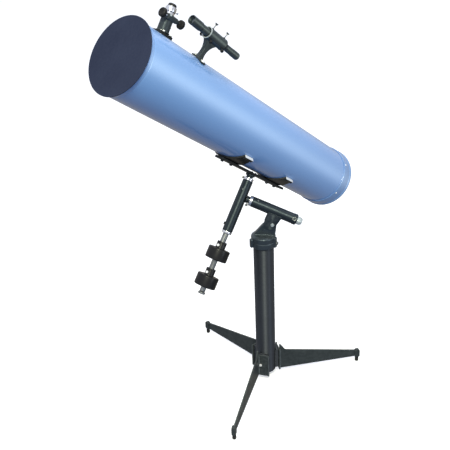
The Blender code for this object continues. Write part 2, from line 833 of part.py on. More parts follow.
def build_focuser(tube):
    """Rack-and-pinion focuser. In its frame Z leaves the tube, and -Y is the near side."""
    frame = pivot("focuser_frame", turn(FOCUSER_ANGLE, "Z") @ across(0, FOCUSER_Z), tube)
    base = box("focuser_base", (-0.028, -0.023, 0.1120), (0.028, 0.023, FOCUSER_SEAT), 0.0015)
    place(base, frame, "black_paint")
    cut(base, rod("base_seat", TUBE_R + GAP, -0.05, 0.05, TUBE_STEPS), turn(math.pi / 2, "Y"))
    cut(base, rod("base_bore", DRAWTUBE_R + 0.0012, 0.10, 0.14, WIDE_STEPS))
    bore = DRAWTUBE_R + 0.0007
    body = turned(
        "focuser_body",
        [
            (0, FOCUSER_TOP),
            (FOCUSER_R, FOCUSER_TOP),
            (FOCUSER_R, FOCUSER_SEAT + 0.0045),
            (FOCUSER_R + 0.003, FOCUSER_SEAT + 0.0030),
            (FOCUSER_R + 0.003, FOCUSER_SEAT + GAP),
            (0, FOCUSER_SEAT + GAP),
        ],
    )
    place(body, frame, "black_paint")
    along_x = shift(0, -PINION_OFFSET, PINION_HEIGHT) @ turn(math.pi / 2, "Y")
    case = [(0, 0.0290), (0.0050, 0.0290), (0.0088, 0.0200), (0.0088, -0.0200), (0, -0.0200)]
    weld(body, turned("pinion_case", case, FINE_STEPS), along_x)
    cut(body, rod("body_bore", bore, 0.12, 0.20))
    cut(body, rod("pinion_bore", PINION_R + 0.0006, -0.03, 0.035, FINE_STEPS), along_x)
    slide = pivot("focus_slide", Matrix(), frame)
    drawtube = turned(
        "drawtube",
        [
            (DRAWTUBE_R, 0.1950),
            (DRAWTUBE_R, 0.1120),
            (DRAWTUBE_R - 0.0015, 0.1120),
            (DRAWTUBE_R - 0.0015, 0.1950),
        ],
        ring=True,
    )
    place(drawtube, slide, "chrome")
    collar = turned(
        "eyepiece_collar",
        [
            (0.0165, 0.2120),
            (0.0175, 0.2110),
            (0.0175, 0.1965),
            (0.0165, 0.1953),
            (DRAWTUBE_R - 0.0015, 0.1953),
            (DRAWTUBE_R - 0.0015, 0.2120),
        ],
        ring=True,
    )
    place(collar, slide, "chrome")
    sideways = across(EYEPIECE_LOCK_ANGLE, EYEPIECE_LOCK_Z)
    cut(collar, rod("lock_hole", 0.0019, 0.012, 0.020, SCREW_STEPS), sideways)
    lock = pivot("eyepiece_lock_axis", sideways, slide)
    thumb_screw("eyepiece_lock_screw", lock, "chrome", 0.0145, 0.0215, 0.0036, 0.005)
    lift = pivot("eyepiece_slide", Matrix(), slide)
    eyepiece = turned(
        "eyepiece",
        [
            (0, 0.2225),
            (0.0095, 0.2225),
            (0.0125, 0.2212),
            (0.0138, 0.2190),
            (0.0138, 0.1700),
            (0.0128, 0.1700),
            (0.0128, 0.2100),
            (0, 0.2100),
        ],
    )
    place(eyepiece, lift, "black_knob")
    pinion_axis = pivot("pinion_axis", along_x, frame)
    pinion = turned(
        "pinion_shaft",
        [
            (0, KNOB_SPAN - 0.0065),
            (0.0022, KNOB_SPAN - 0.0065),
            (0.0022, 0.0095),
            (PINION_R, 0.0095),
            (PINION_R, -0.0095),
            (0.0022, -0.0095),
            (0.0022, -KNOB_SPAN + 0.0065),
            (0, -KNOB_SPAN + 0.0065),
        ],
        FINE_STEPS,
    )
    place(pinion, pinion_axis, "chrome")
    for name, side in (("focus_knob_rear", 1), ("focus_knob_front", -1)):
        knob = turned(
            name,
            [
                (0, 0.0060),
                (KNOB_R - 0.0030, 0.0060),
                (KNOB_R, 0.0035),
                (KNOB_R, -0.0050),
                (KNOB_R - 0.0015, -0.0062),
                (0, -0.0062),
            ],
            KNOB_STEPS,
        )
        matrix = shift(z=side * KNOB_SPAN)
        if side < 0:
            matrix = matrix @ turn(math.pi, "X")
        place(knob, pinion_axis, "black_knob", matrix)


def build_finder(tube):
    """A small refractor in a sleeve on a waisted stalk. In its frame X leaves the tube."""
    aim = shift(FINDER_OFFSET, 0, FINDER_Z) @ turn(FINDER_TILT, "Y")
    frame = pivot("finder_frame", turn(FINDER_ANGLE, "Z") @ aim, tube)
    inner = SLEEVE_R - 0.0030
    bracket = turned(
        "finder_bracket",
        [(SLEEVE_R, SLEEVE_HALF), (SLEEVE_R, -SLEEVE_HALF), (inner, -SLEEVE_HALF), (inner, SLEEVE_HALF)],
        ring=True,
    )
    place(bracket, frame, "black_paint")
    low = TUBE_R - FINDER_OFFSET - 0.003
    stalk = arc_through((-0.0175, 0.0390), (-0.0500, 0.0165), (low, 0.0170))
    stalk += arc_through((low, -0.0110), (-0.0500, -0.0030), (-0.0175, -0.0230))
    weld(bracket, plate("finder_stalk", stalk, -0.0075, 0.0075), UPRIGHT)
    top = TUBE_R + 0.0055
    foot = [(top, 0.0115), (top, -0.0115), (TUBE_R - 0.002, -0.0115), (TUBE_R - 0.002, 0.0115)]
    strap = turned("finder_foot", foot, TUBE_STEPS, ring=True)
    wedge = [(0, 0), (0.2, -0.2 * math.tan(FOOT_NEAR)), (0.2, 0.2 * math.tan(FOOT_FAR))]
    combine(strap, plate("foot_wedge", wedge, -0.05, 0.05), "INTERSECT")
    to_tube = aim.inverted()
    weld(bracket, strap, to_tube @ shift(z=FOOT_Z))
    cut(bracket, rod("foot_seat", TUBE_R + GAP, 0.3, 0.7, TUBE_STEPS), to_tube)
    cut(bracket, rod("sleeve_bore", inner, -0.06, 0.06))
    body = turned(
        "finder_tube",
        [
            (0.0128, 0.0775),
            (0.0128, -0.0530),
            (0.0116, -0.0530),
            (0.0116, 0.0775),
        ],
        ring=True,
    )
    place(body, frame, "black_paint")
    cell = turned(
        "finder_objective",
        [
            (0.0132, 0.1240),
            (0.0145, 0.1240),
            (0.0145, 0.0795),
            (0.0136, 0.0778),
            (0, 0.0778),
            (0, 0.1130),
            (0.0132, 0.1150),
            (0.0132, 0.1240),
        ],
    )
    place(cell, frame, "black_paint")
    focus = pivot("finder_focus", Matrix(), frame)
    eyepiece = turned(
        "finder_eyepiece",
        [
            (0, -0.0533),
            (0.0110, -0.0533),
            (0.0116, -0.0545),
            (0.0116, -0.0920),
            (0.0124, -0.0960),
            (0.0124, -0.1255),
            (0.0110, -0.1275),
            (0.0075, -0.1275),
            (0, -0.1250),
        ],
    )
    place(eyepiece, focus, "black_knob")
    for end, height in (("front", 0.0320), ("rear", -0.0300)):
        for i, angle in enumerate(SCREW_ANGLES):
            matrix = across(angle, height)
            hole = rod(f"finder_hole_{end}_{i + 1}", 0.0017, 0.014, 0.024, SCREW_STEPS)
            cut(bracket, hole, matrix)
            axis = pivot(f"finder_screw_axis_{end}_{i + 1}", matrix, frame)
            name = f"finder_screw_{end}_{i + 1}"
            material = "chrome" if i == 0 else "black_knob"
            thumb_screw(name, axis, material, 0.0132, 0.0300, 0.0048, 0.0050, 0.0013)


# ---- assembly -----------------------------------------------------------------------------
def build_telescope():
    stand = pivot("stand", shift(PILLAR_X, PILLAR_Y))
    build_stand(stand)
    azimuth = pivot("azimuth_axis", Matrix(), stand)
    build_head(azimuth)
    polar_tilt = turn(LATITUDE - math.pi / 2, "Y")
    bolt_x, bolt_z = wedge_point()
    wedge = pivot("latitude_axis", shift(bolt_x, 0, bolt_z) @ polar_tilt, azimuth)
    build_ra_housing(wedge)
    to_polar = shift(-WEDGE_X, 0, -WEDGE_Z) @ turn(HOUR_ANGLE, "Z")
    polar = pivot("polar_axis", to_polar, wedge)
    build_ra_shaft(polar)
    dec = pivot("declination_frame", shift(z=POLAR_TO_DEC) @ turn(math.pi / 2, "Y"), polar)
    build_dec_housing(dec)
    dec_turn = turn(-(DECLINATION + math.pi / 2), "Z")
    axis = pivot("declination_axis", dec_turn, dec)
    build_dec_shaft(axis)
    build_weight("upper", axis, UPPER_WEIGHT_Z)
    build_weight("lower", axis, LOWER_WEIGHT_Z)
    swap = turn(math.pi, Vector((1, 0, 1)).normalized())
    tube = pivot("tube_frame", shift(z=DEC_TO_TUBE) @ swap, axis)
    build_saddle(tube)
    build_tube(tube)
    build_primary(tube)
    build_secondary(tube)
    build_focuser(tube)
    build_finder(tube)


clear_scene()
parts = new_collection("newtonian_telescope")
cutters = new_collection("cutters")
make_materials()
build_telescope()
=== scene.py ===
import json
import math

import bmesh
import bpy
from mathutils import Matrix, Vector


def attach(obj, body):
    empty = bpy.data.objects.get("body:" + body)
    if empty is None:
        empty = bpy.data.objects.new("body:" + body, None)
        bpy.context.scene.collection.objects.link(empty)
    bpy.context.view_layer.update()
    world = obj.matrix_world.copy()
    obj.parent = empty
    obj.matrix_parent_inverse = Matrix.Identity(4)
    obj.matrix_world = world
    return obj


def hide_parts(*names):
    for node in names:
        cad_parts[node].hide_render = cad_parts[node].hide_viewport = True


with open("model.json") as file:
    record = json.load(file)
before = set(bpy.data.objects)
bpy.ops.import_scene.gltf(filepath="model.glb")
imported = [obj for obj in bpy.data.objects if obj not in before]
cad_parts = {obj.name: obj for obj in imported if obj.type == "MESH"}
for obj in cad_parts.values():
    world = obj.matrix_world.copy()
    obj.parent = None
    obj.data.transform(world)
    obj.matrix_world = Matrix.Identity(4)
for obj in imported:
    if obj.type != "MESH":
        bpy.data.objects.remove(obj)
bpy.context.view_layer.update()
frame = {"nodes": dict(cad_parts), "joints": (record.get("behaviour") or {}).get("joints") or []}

# ---- dimensions in metres, in step with the CAD model; LEGS, SHARP and STRAIGHT are in degrees
GAP = 0.0003  # between separate solids
CORNER_STEPS = 3  # sides of a rounded corner
STRAIGHT = 168  # from this angle on, a corner stays as it is
OTA = "optical_tube"  # the body of the optical tube assembly
SHARP = 38  # from this angle on, an edge is shown sharp
POLAR_TO_DEC = 0.0887
WEDGE_X = -0.0492
DEC_TO_TUBE = 0.2294
TUBE_R = 0.12
TUBE_WALL = 0.001
TUBE_FRONT = 0.7866
TUBE_BACK = -0.485
COVER_R = 0.127
RING_BACK = -0.4955
FOCUSER_ANGLE = math.radians(2.0)
FOCUSER_Z = TUBE_FRONT - 0.1186
PINION_OUT = 0.0192
PINION_UP = 0.177
FINDER_ANGLE = math.radians(-20)
FINDER_OFFSET = 0.2014
FINDER_Z = TUBE_FRONT - 0.265
FINDER_TILT = math.radians(2.55)
FOOT_Z = TUBE_FRONT - 0.2565
SHAFT_R = 0.011
BORE_R = 0.0114
DEC_TOP = 0.0671
DEC_END = -0.1406
SHAFT_END = -0.4006
WEIGHTS = {"upper": -0.2136, "lower": -0.3246}
RA_TOP = 0.0437
RA_END = -0.1405
PILLAR_R = 0.0408
PILLAR_BOTTOM = 0.0345
PILLAR_TOP = 0.677
COLLAR_R = 0.0485
COLLAR_BOTTOM = 0.638
COLLAR_TOP = 0.686
LEGS = {"right": 22.7, "left": 142.7, "front": 262.7}
LEG_REACH = 0.411
LEG_OFFSET = -0.02
FLANGE_IN = 0.0505
FLANGE_OUT = 0.0585


# ---- frames
def shift(x=0.0, y=0.0, z=0.0):
    return Matrix.Translation((x, y, z))


def turn(degrees, axis):
    return Matrix.Rotation(math.radians(degrees), 4, axis)


def frame_at(origin, x, z):
    """A frame with its Z along z and its X as near x as it can be."""
    z = z.normalized()
    y = z.cross(x).normalized()
    made = Matrix((y.cross(z), y, z)).transposed().to_4x4()
    made.translation = origin
    return made


def across(angle, height):
    """Z points sideways from the axis, at angle in degrees and the given height."""
    return shift(z=height) @ turn(angle, "Z") @ turn(90, "Y")


joints = {joint["name"]: joint for joint in frame["joints"]}


def joint_at(name):
    return Vector(joints[name]["pos_m"])


def joint_axis(name):
    return Vector(joints[name]["axis"]).normalized()


pillar_axis = joint_at("azimuth")
STAND = shift(pillar_axis.x, pillar_axis.y)
polar_up = joint_axis("right_ascension")
dec_out = joint_axis("declination")
crossing = joint_at("right_ascension")
tube_fore = joint_axis("dust_cover_slide")
polar_foot = crossing - polar_up * POLAR_TO_DEC
POLAR = frame_at(polar_foot, Vector((0, 0, 1)), polar_up)
SHAFT = frame_at(polar_foot, dec_out, polar_up)
DEC = frame_at(crossing, -polar_up, dec_out)
BAR = frame_at(crossing, tube_fore, dec_out)
TUBE = frame_at(joint_at("declination"), dec_out, tube_fore)
FOCUSER = TUBE @ Matrix.Rotation(FOCUSER_ANGLE, 4, "Z") @ across(0, FOCUSER_Z)
PINION = FOCUSER @ shift(0, -PINION_OUT, PINION_UP) @ turn(90, "Y")
FINDER = TUBE @ Matrix.Rotation(FINDER_ANGLE, 4, "Z") @ shift(FINDER_OFFSET, 0, FINDER_Z)
FINDER = FINDER @ Matrix.Rotation(FINDER_TILT, 4, "Y")
UPRIGHT = turn(90, "X")


# ---- materials
class Nodes:
    """Builds up one node tree."""

    def __init__(self, tree, coordinates="Object"):
        self.tree = tree
        self.where = tree.nodes.new("ShaderNodeTexCoord").outputs[coordinates]

    def feed(self, socket, value):
        """Sets the socket, or links it where value is another node's output."""
        if isinstance(value, bpy.types.NodeSocket):
            self.tree.links.new(value, socket)
        elif socket.type == "RGBA":
            socket.default_value = (*value[:3], 1)
        else:
            socket.default_value = value

    def add(self, kind, settings=None, **inputs):
        node = self.tree.nodes.new(kind)
        for key, value in (settings or {}).items():
            setattr(node, key, value)
        for key, value in inputs.items():
            self.feed(node.inputs[key.replace("_", " ")], value)
        return node

    def span(self, value, low, high, start=0.3, end=0.7):
        """Value, which mostly runs from start to end, spread over low to high."""
        made = self.add("ShaderNodeMapRange", Value=value, From_Min=start, From_Max=end,
                        To_Min=low, To_Max=high)
        return made.outputs[0]

    def blend(self, factor, first, second):
        made = self.add("ShaderNodeMix", {"data_type": "RGBA"})
        for index, value in ((0, factor), (6, first), (7, second)):
            self.feed(made.inputs[index], value)
        return made.outputs[2]

    def ramp(self, value, start, end, stops):
        """The colour that stops give along value, which runs from start to end."""
        made = self.add("ShaderNodeValToRGB", Fac=self.span(value, 0.0, 1.0, start, end))
        elements = made.color_ramp.elements
        for i, (place, colour) in enumerate(stops):
            stop = elements[i] if i < len(elements) else elements.new(place)
            stop.position = place
            stop.color = (*colour, 1)
        return made.outputs[0]


class Surface(Nodes):
    """A Principled material whose colour, roughness and bump come from procedural nodes."""

    def __init__(self, name, slot, metallic=0.0, **constants):
        self.material = bpy.data.materials.new(name)
        self.material.use_nodes = True
        self.material["slot"] = slot
        super().__init__(self.material.node_tree)
        self.shader = self.tree.nodes["Principled BSDF"]
        self.shader.inputs["Metallic"].default_value = metallic
        for key, value in constants.items():
            self.shader.inputs[key.replace("_", " ")].default_value = value

    def noise(self, scale, detail, stretch=(1, 1, 1), rough=0.5):
        mapped = self.add("ShaderNodeMapping", Vector=self.where, Scale=stretch).outputs[0]
        made = self.add("ShaderNodeTexNoise", Vector=mapped, Scale=scale, Detail=detail, Roughness=rough)
        return made.outputs["Fac"]

    def cloud(self, scale, detail, dark, light):
        """A colour that drifts between two with noise."""
        return self.blend(self.span(self.noise(scale, detail), 0.0, 1.0), dark, light)

    def times(self, first, second):
        node = self.add("ShaderNodeMath", {"operation": "MULTIPLY"})
        self.feed(node.inputs[0], first)
        self.feed(node.inputs[1], second)
        return node.outputs[0]

    def bump(self, height, distance):
        made = self.add("ShaderNodeBump", Height=height, Distance=distance, Strength=1.0)
        self.tree.links.new(made.outputs[0], self.shader.inputs["Normal"])

    def facing_up(self):
        normal = self.add("ShaderNodeNewGeometry").outputs["Normal"]
        z = self.add("ShaderNodeSeparateXYZ", Vector=normal).outputs["Z"]
        return self.span(z, 0.0, 1.0, 0.55, 1.0)

    def edge_wear_and_highlight(self, amount):
        """Edges made lighter by pointiness, broken up by noise: partly worn edges, partly a painted
        highlight on convex edges.
        """
        edge = self.add("ShaderNodeNewGeometry").outputs["Pointiness"]
        mask = self.span(edge, 0.0, amount, 0.52, 0.6)
        return self.times(mask, self.span(self.noise(90, 4), 0.2, 1.0, 0.4, 0.6))

    def done(self, colour, roughness):
        self.tree.links.new(colour, self.shader.inputs["Base Color"])
        self.tree.links.new(roughness, self.shader.inputs["Roughness"])
        return self.material


def paint(name, slot, dark, light, rough, grain, depth, dust, wear_and_highlight, **constants):
    """Sprayed paint: soft colour drift, orange peel, faint dust on what faces up, and edges painted lighter,
    partly as wear and partly as a painted highlight.
    """
    s = Surface(name, slot, **constants)
    colour = s.cloud(14, 4, dark, light)
    if wear_and_highlight:
        # edges painted lighter: partly wear, partly a painted highlight along convex edges
        colour = s.blend(s.edge_wear_and_highlight(wear_and_highlight), colour, [min(1, 3.2 * c + 0.05) for c in light])
    if dust:
        powder = s.times(s.facing_up(), s.span(s.noise(60, 5), 0.0, dust))
        colour = s.blend(powder, colour, (0.36, 0.35, 0.33))
    s.bump(s.noise(grain, 2), depth)
    scuffs = s.noise(35, 6, (1, 1, 6), 0.65)
    return s.done(colour, s.span(scuffs, rough - 0.06, rough + 0.1))


def metal(name, slot, dark, light, rough, lines=1400, depth=0.00002):
    """Turned metal: fine rings round its own Z, hairline streaks and slight staining."""
    s = Surface(name, slot, metallic=1.0)
    rings = s.noise(lines, 2, (0.02, 0.02, 1))
    colour = s.blend(s.span(rings, 0.0, 0.25), s.cloud(40, 4, dark, light), [0.7 * c for c in dark])
    s.bump(rings, depth)
    return s.done(colour, s.span(rings, rough - 0.04, rough + 0.08))


def tube_paint(name="tube_blue", shade=1.0):
    """Light metallic blue lacquer with a faint lengthwise drift, fine flake and orange peel."""
    s = Surface(name, "blue_paint", metallic=0.12, IOR=2.0, Anisotropic=0.9,
                Anisotropic_Rotation=0.25, Coat_Weight=1.0, Coat_Roughness=0.16)
    drift = s.span(s.noise(5, 3, (1, 1, 0.25)), 0.0, 1.0)
    dark, light = [[shade * c for c in tone] for tone in ((0.107, 0.25, 0.555), (0.125, 0.28, 0.605))]
    flake = s.span(s.noise(2600, 1), 0.0, 0.25, 0.45, 0.75)
    colour = s.blend(flake, s.blend(drift, dark, light), (0.4, 0.56, 0.84))
    s.bump(s.noise(260, 2), 0.00003)
    return s.done(colour, s.span(s.noise(22, 5, (1, 1, 0.15)), 0.58, 0.66))


def moulded_navy():
    """Moulded dust cover: matte navy with a fine leathery grain."""
    s = Surface("cover_navy", "navy_cover", Specular_IOR_Level=0.18)
    colour = s.cloud(6, 4, (0.011, 0.0155, 0.038), (0.017, 0.023, 0.05))
    s.bump(s.noise(700, 3), 0.00012)
    return s.done(colour, s.span(s.noise(120, 3), 0.62, 0.8))


def glass(name, slot, tint):
    """Coated optical glass: a dark body under a coloured film that drifts across it, painted lighter where
    it is seen edge-on as a painted reflection.
    """
    s = Surface(name, slot, Coat_Weight=1.0, Coat_Roughness=0.02)
    film = s.cloud(30, 2, tint, [0.6 * c for c in tint])
    # the film is painted lighter at grazing view angles: a painted reflection
    rim = s.add("ShaderNodeLayerWeight", Blend=0.35).outputs["Facing"]
    colour = s.blend(rim, film, [min(1.0, 2.2 * c + 0.02) for c in tint])
    return s.done(colour, s.span(s.noise(200, 3), 0.02, 0.07))


def mirror():
    s = Surface("silvered", "mirror_glass", metallic=1.0)
    colour = s.cloud(50, 3, (0.84, 0.86, 0.88), (0.91, 0.93, 0.95))
    return s.done(colour, s.span(s.noise(160, 4), 0.01, 0.05))


def gloss(level, streak=0.0, tint=(1.0, 1.0, 1.0)):
    """A black finish's shine: its strength, its tint, and how far it is drawn out lengthwise."""
    shine = {"Specular_IOR_Level": level, "Specular_Tint": (*tint, 1.0)}
    return shine | ({"Anisotropic": streak, "Anisotropic_Rotation": 0.25} if streak else {})


BLACK = "black_paint"
COOL = (0.72, 0.89, 0.98)
# name: material, slot, dark and light colour, roughness, grain, its depth, dust, edge wear with painted edge
# highlight, and the shine
PAINTS = {
    "housing": ("housing_black", BLACK, (0.003, 0.0045, 0.006), (0.007, 0.009, 0.011), 0.48,
                700, 0.00005, 0.02, 0.3, gloss(0.74, 0.85, COOL)),
    "pillar": ("pillar_black", BLACK, (0.006, 0.0065, 0.007), (0.011, 0.012, 0.013), 0.6,
               520, 0.00006, 0.02, 0.2, gloss(0.98, 0.95, (0.76, 0.84, 0.97))),
    "leg": ("leg_black", BLACK, (0.018, 0.0225, 0.0235), (0.03, 0.036, 0.037), 0.44,
            420, 0.00012, 0.05, 0.5, gloss(0.22)),
    # edge: a lighter grey for the flange rims and weld beads, a painted highlight along these edges
    "edge": ("leg_edge_painted_highlight", BLACK, (0.034, 0.042, 0.046), (0.054, 0.064, 0.07), 0.4,
             420, 0.0001, 0.05, 0.5, {}),
    # cast: edges painted lighter at full strength, mostly a painted highlight on the ridges of the casting
    "cast": ("cast_black", BLACK, (0.01, 0.013, 0.016), (0.022, 0.027, 0.032), 0.3,
             260, 0.00035, 0.04, 1.0, gloss(0.8, 0.0, COOL)),
    "weight": ("weight_black", BLACK, (0.004, 0.004, 0.0045), (0.008, 0.008, 0.009), 0.3,
               380, 0.0001, 0.02, 0.4, gloss(0.28)),
    "fitting": ("fitting_black", BLACK, (0.005, 0.006, 0.007), (0.01, 0.0115, 0.013), 0.36,
                800, 0.00006, 0.02, 0.3, gloss(0.18)),
    "barrel": ("barrel_black", BLACK, (0.015, 0.018, 0.02), (0.026, 0.031, 0.034), 0.56,
               800, 0.00006, 0.03, 0.35, gloss(0.74, 0.95, COOL)),
    "knob": ("knob_black", "black_knob", (0.005, 0.005, 0.0055), (0.01, 0.01, 0.011), 0.48,
             1100, 0.00008, 0.03, 0.0, gloss(0.22)),
    "inside": ("inside_black", "inner_black", (0.006, 0.006, 0.007), (0.016, 0.016, 0.018), 0.86,
               1400, 0.00012, 0.0, 0.0, {}),
    "cell": ("cell_black", "inner_black", (0.01, 0.011, 0.013), (0.02, 0.022, 0.026), 0.55,
             500, 0.0002, 0.03, 0.0, {}),
    "rubber": ("foot_rubber", "rubber", (0.008, 0.008, 0.008), (0.02, 0.019, 0.018), 0.82,
               1300, 0.00016, 0.1, 0.0, {}),
    # bright: pale plated steel, kept mostly non-metallic and near white so it reads as lit: partly its own
    # colour, partly a painted highlight
    "bright": ("pale_zinc_painted_highlight", "chrome", (0.8, 0.8, 0.81), (0.9, 0.9, 0.9), 0.3,
               500, 0.00005, 0.0, 0.0, {"metallic": 0.35, "Coat_Weight": 0.3, "Coat_Roughness": 0.2}),
    "zinc": ("dull_zinc", "bare_steel", (0.34, 0.38, 0.4), (0.46, 0.5, 0.52), 0.34,
             500, 0.00005, 0.0, 0.0, {"metallic": 0.45}),
}
mats = {key: paint(*row[:-1], **row[-1]) for key, row in PAINTS.items()}
mats |= {
    "blue": tube_paint(),
    "ring_blue": tube_paint("ring_blue", 0.78),
    "navy": moulded_navy(),
    "chrome": metal("chrome", "chrome", (0.72, 0.72, 0.73), (0.88, 0.88, 0.89), 0.13),
    "steel": metal("turned_steel", "bare_steel", (0.2, 0.21, 0.2), (0.33, 0.34, 0.33), 0.3, 900, 0.00004),
    "lens": glass("lens_coating_painted_glint", "black_knob", (0.006, 0.012, 0.018)),
    "mirror": mirror(),
}


# ---- mesh helpers
def rounded(points, radius, closed=False):
    """The polyline with its corners rounded to about radius, less where a side is short."""
    made = []
    total = len(points)
    for i, point in enumerate(points):
        here = Vector(point)
        if not closed and i in (0, total - 1):
            made.append(tuple(here))
            continue
        before = Vector(points[i - 1]) - here
        after = Vector(points[(i + 1) % total]) - here
        reach = min(radius, 0.45 * before.length, 0.45 * after.length)
        straight = before.length * after.length == 0 or before.angle(after) > math.radians(STRAIGHT)
        if reach < 0.00005 or straight:
            made.append(tuple(here))
            continue
        a = here + before.normalized() * reach
        b = here + after.normalized() * reach
        for k in range(CORNER_STEPS + 1):
            t = k / CORNER_STEPS
            made.append(tuple(a * (1 - t) ** 2 + here * 2 * t * (1 - t) + b * t**2))
    return made


def arc(cx, cy, radius, start, end, count):
    angles = [math.radians(start + (end - start) * i / count) for i in range(count + 1)]
    return [(cx + radius * math.cos(a), cy + radius * math.sin(a)) for a in angles]


def arc_through(start, middle, end):
    """Points on the circular arc from start to end that passes through middle."""
    (ax, ay), (bx, by), (cx, cy) = start, middle, end
    a2, b2, c2 = ax**2 + ay**2, bx**2 + by**2, cx**2 + cy**2
    d = 2 * (ax * (by - cy) + bx * (cy - ay) + cx * (ay - by))
    ox = (a2 * (by - cy) + b2 * (cy - ay) + c2 * (ay - by)) / d
    oy = (a2 * (cx - bx) + b2 * (ax - cx) + c2 * (bx - ax)) / d
    first, mid, last = (math.degrees(math.atan2(y - oy, x - ox)) for x, y in (start, middle, end))
    sweep = (last - first) % 360
    if (mid - first) % 360 > sweep:
        sweep -= 360
    return arc(ox, oy, math.hypot(ax - ox, ay - oy), first, first + sweep, 18)


def is_ring(profile):
    """A profile that starts off the axis is closed on itself."""
    return profile[0][0] > 0


def lathe_mesh(bm, profile, steps=72, matrix=None, flutes=None, span=None):
    """Adds a profile of (radius, height) turned about Z. flutes = (count, depth, least radius)."""
    matrix = matrix or Matrix()
    rows = []
    sweep = math.radians(span[1] - span[0]) if span else 2 * math.pi
    begin = math.radians(span[0]) if span else 0.0
    columns = steps + 1 if span else steps
    for radius, height in profile:
        if radius < 1e-6:
            rows.append([bm.verts.new(matrix @ Vector((0, 0, height)))])
            continue
        row = []
        for k in range(columns):
            angle = begin + sweep * k / steps
            r = radius
            if flutes and radius > flutes[2]:
                r -= flutes[1] * (0.5 + 0.5 * math.cos(flutes[0] * angle)) ** 2
            row.append(bm.verts.new(matrix @ Vector((r * math.cos(angle), r * math.sin(angle), height))))
        rows.append(row)
    pairs = list(zip(rows, rows[1:]))
    if is_ring(profile):
        pairs.append((rows[-1], rows[0]))
    for upper, lower in pairs:
        for k in range(steps):
            j = (k + 1) % columns if not span else k + 1
            a, b = upper[k % len(upper)], upper[j % len(upper)]
            c, d = lower[j % len(lower)], lower[k % len(lower)]
            corners = [v for i, v in enumerate((a, b, c, d)) if v not in (a, b, c, d)[:i]]
            if len(corners) > 2:
                bm.faces.new(corners)
    if span and is_ring(profile):
        bm.faces.new([row[0] for row in rows])
        bm.faces.new([row[-1] for row in reversed(rows)])
    return bm


def round_edges(bm, edges, bevel, segments=3):
    bmesh.ops.bevel(bm, geom=edges, offset=bevel, segments=segments, profile=0.5, affect="EDGES")


def box_mesh(bm, low, high, bevel, matrix=None):
    made = bmesh.new()
    size = [b - a for a, b in zip(low, high)]
    middle = [(a + b) / 2 for a, b in zip(low, high)]
    bmesh.ops.create_cube(made, matrix=shift(*middle) @ Matrix.Diagonal((*size, 1)))
    round_edges(made, made.edges[:], bevel)
    return absorb(bm, made, matrix)


def plate_mesh(bm, outline, low, high, bevel, matrix=None):
    """A flat outline in XY, from z = low to high, with rounded rims."""
    made = bmesh.new()
    face = made.faces.new([made.verts.new((x, y, low)) for x, y in outline])
    top = bmesh.ops.extrude_face_region(made, geom=[face])
    lifted = [v for v in top["geom"] if isinstance(v, bmesh.types.BMVert)]
    bmesh.ops.translate(made, verts=lifted, vec=(0, 0, high - low))
    bmesh.ops.recalc_face_normals(made, faces=made.faces)
    round_edges(made, [e for e in made.edges if abs(e.verts[0].co.z - e.verts[1].co.z) < 1e-7], bevel)
    return absorb(bm, made, matrix)


def rope_mesh(bm, path, radius, ripple, pitch=0.003):
    """A closed round bead along a straight path. ripple makes the scales of a weld."""
    start, end = (Vector(p) for p in path)
    along = (end - start).normalized()
    length = (end - start).length
    count = max(2, int(length / pitch * 5))
    profile = [(0, 0)]
    for i in range(count + 1):
        t = i / count
        swell = ripple * abs(math.sin(math.pi * t * length / pitch))
        taper = min(1.0, 0.4 + 8 * min(t, 1 - t))
        profile.append(((radius + swell) * taper, t * length))
    profile.append((0, length))
    made = frame_at(start, Vector((0.31, 0.17, 0.93)).cross(along), along)
    return lathe_mesh(bm, profile, 10, made)


def slab_mesh(bm, under, over):
    """Closes two grids of vertices, one above the other, into a slab."""
    count, rows = len(under) - 1, len(under[0]) - 1
    for grid in (under, over):
        for i in range(count):
            for k in range(rows):
                bm.faces.new([grid[i][k], grid[i + 1][k], grid[i + 1][k + 1], grid[i][k + 1]])
    rim = [(i, 0) for i in range(count + 1)] + [(count, k) for k in range(1, rows + 1)]
    rim += [(i, rows) for i in range(count - 1, -1, -1)] + [(0, k) for k in range(rows - 1, 0, -1)]
    for (i, k), (j, m) in zip(rim, rim[1:] + rim[:1]):
        bm.faces.new([under[i][k], under[j][m], over[j][m], over[i][k]])
    bmesh.ops.recalc_face_normals(bm, faces=bm.faces)


def absorb(bm, made, matrix):
    """Moves the mesh made, placed by matrix, into bm."""
    if matrix is not None:
        bmesh.ops.transform(made, matrix=matrix, verts=made.verts)
    mesh = bpy.data.meshes.new("part")
    made.to_mesh(mesh)
    made.free()
    bm.from_mesh(mesh)
    bpy.data.meshes.remove(mesh)
    return bm


def new_object(name, data):
    obj = bpy.data.objects.new(name, data)
    bpy.context.scene.collection.objects.link(obj)
    return obj


# Tilted pieces at the far corners of the whole: their meshes are laid out in the shared frame, so
# that their boxes are the true ones.
CORNER_PIECES = {"cover_disc", "eyepiece_barrel"}


def piece(name, bm, at, material, body, nodes=(), angle=SHARP, weighted=True):
    """Turns the mesh into a piece that rides on body, and stands for the CAD nodes."""
    bmesh.ops.recalc_face_normals(bm, faces=bm.faces)
    if name in CORNER_PIECES:
        bm.transform(at)
        at = Matrix()
    mesh = bpy.data.meshes.new(name)
    bm.to_mesh(mesh)
    bm.free()
    mesh.shade_smooth()
    mesh.set_sharp_from_angle(angle=math.radians(angle))
    obj = new_object(name, mesh)
    obj.matrix_world = at
    mesh.materials.append(mats[material])
    if weighted:
        normals = obj.modifiers.new("flat faces stay flat", "WEIGHTED_NORMAL")
        normals.keep_sharp = True
    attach(obj, body)
    nodes = [nodes] if isinstance(nodes, str) else nodes
    if nodes:
        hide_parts(*nodes)
    return obj


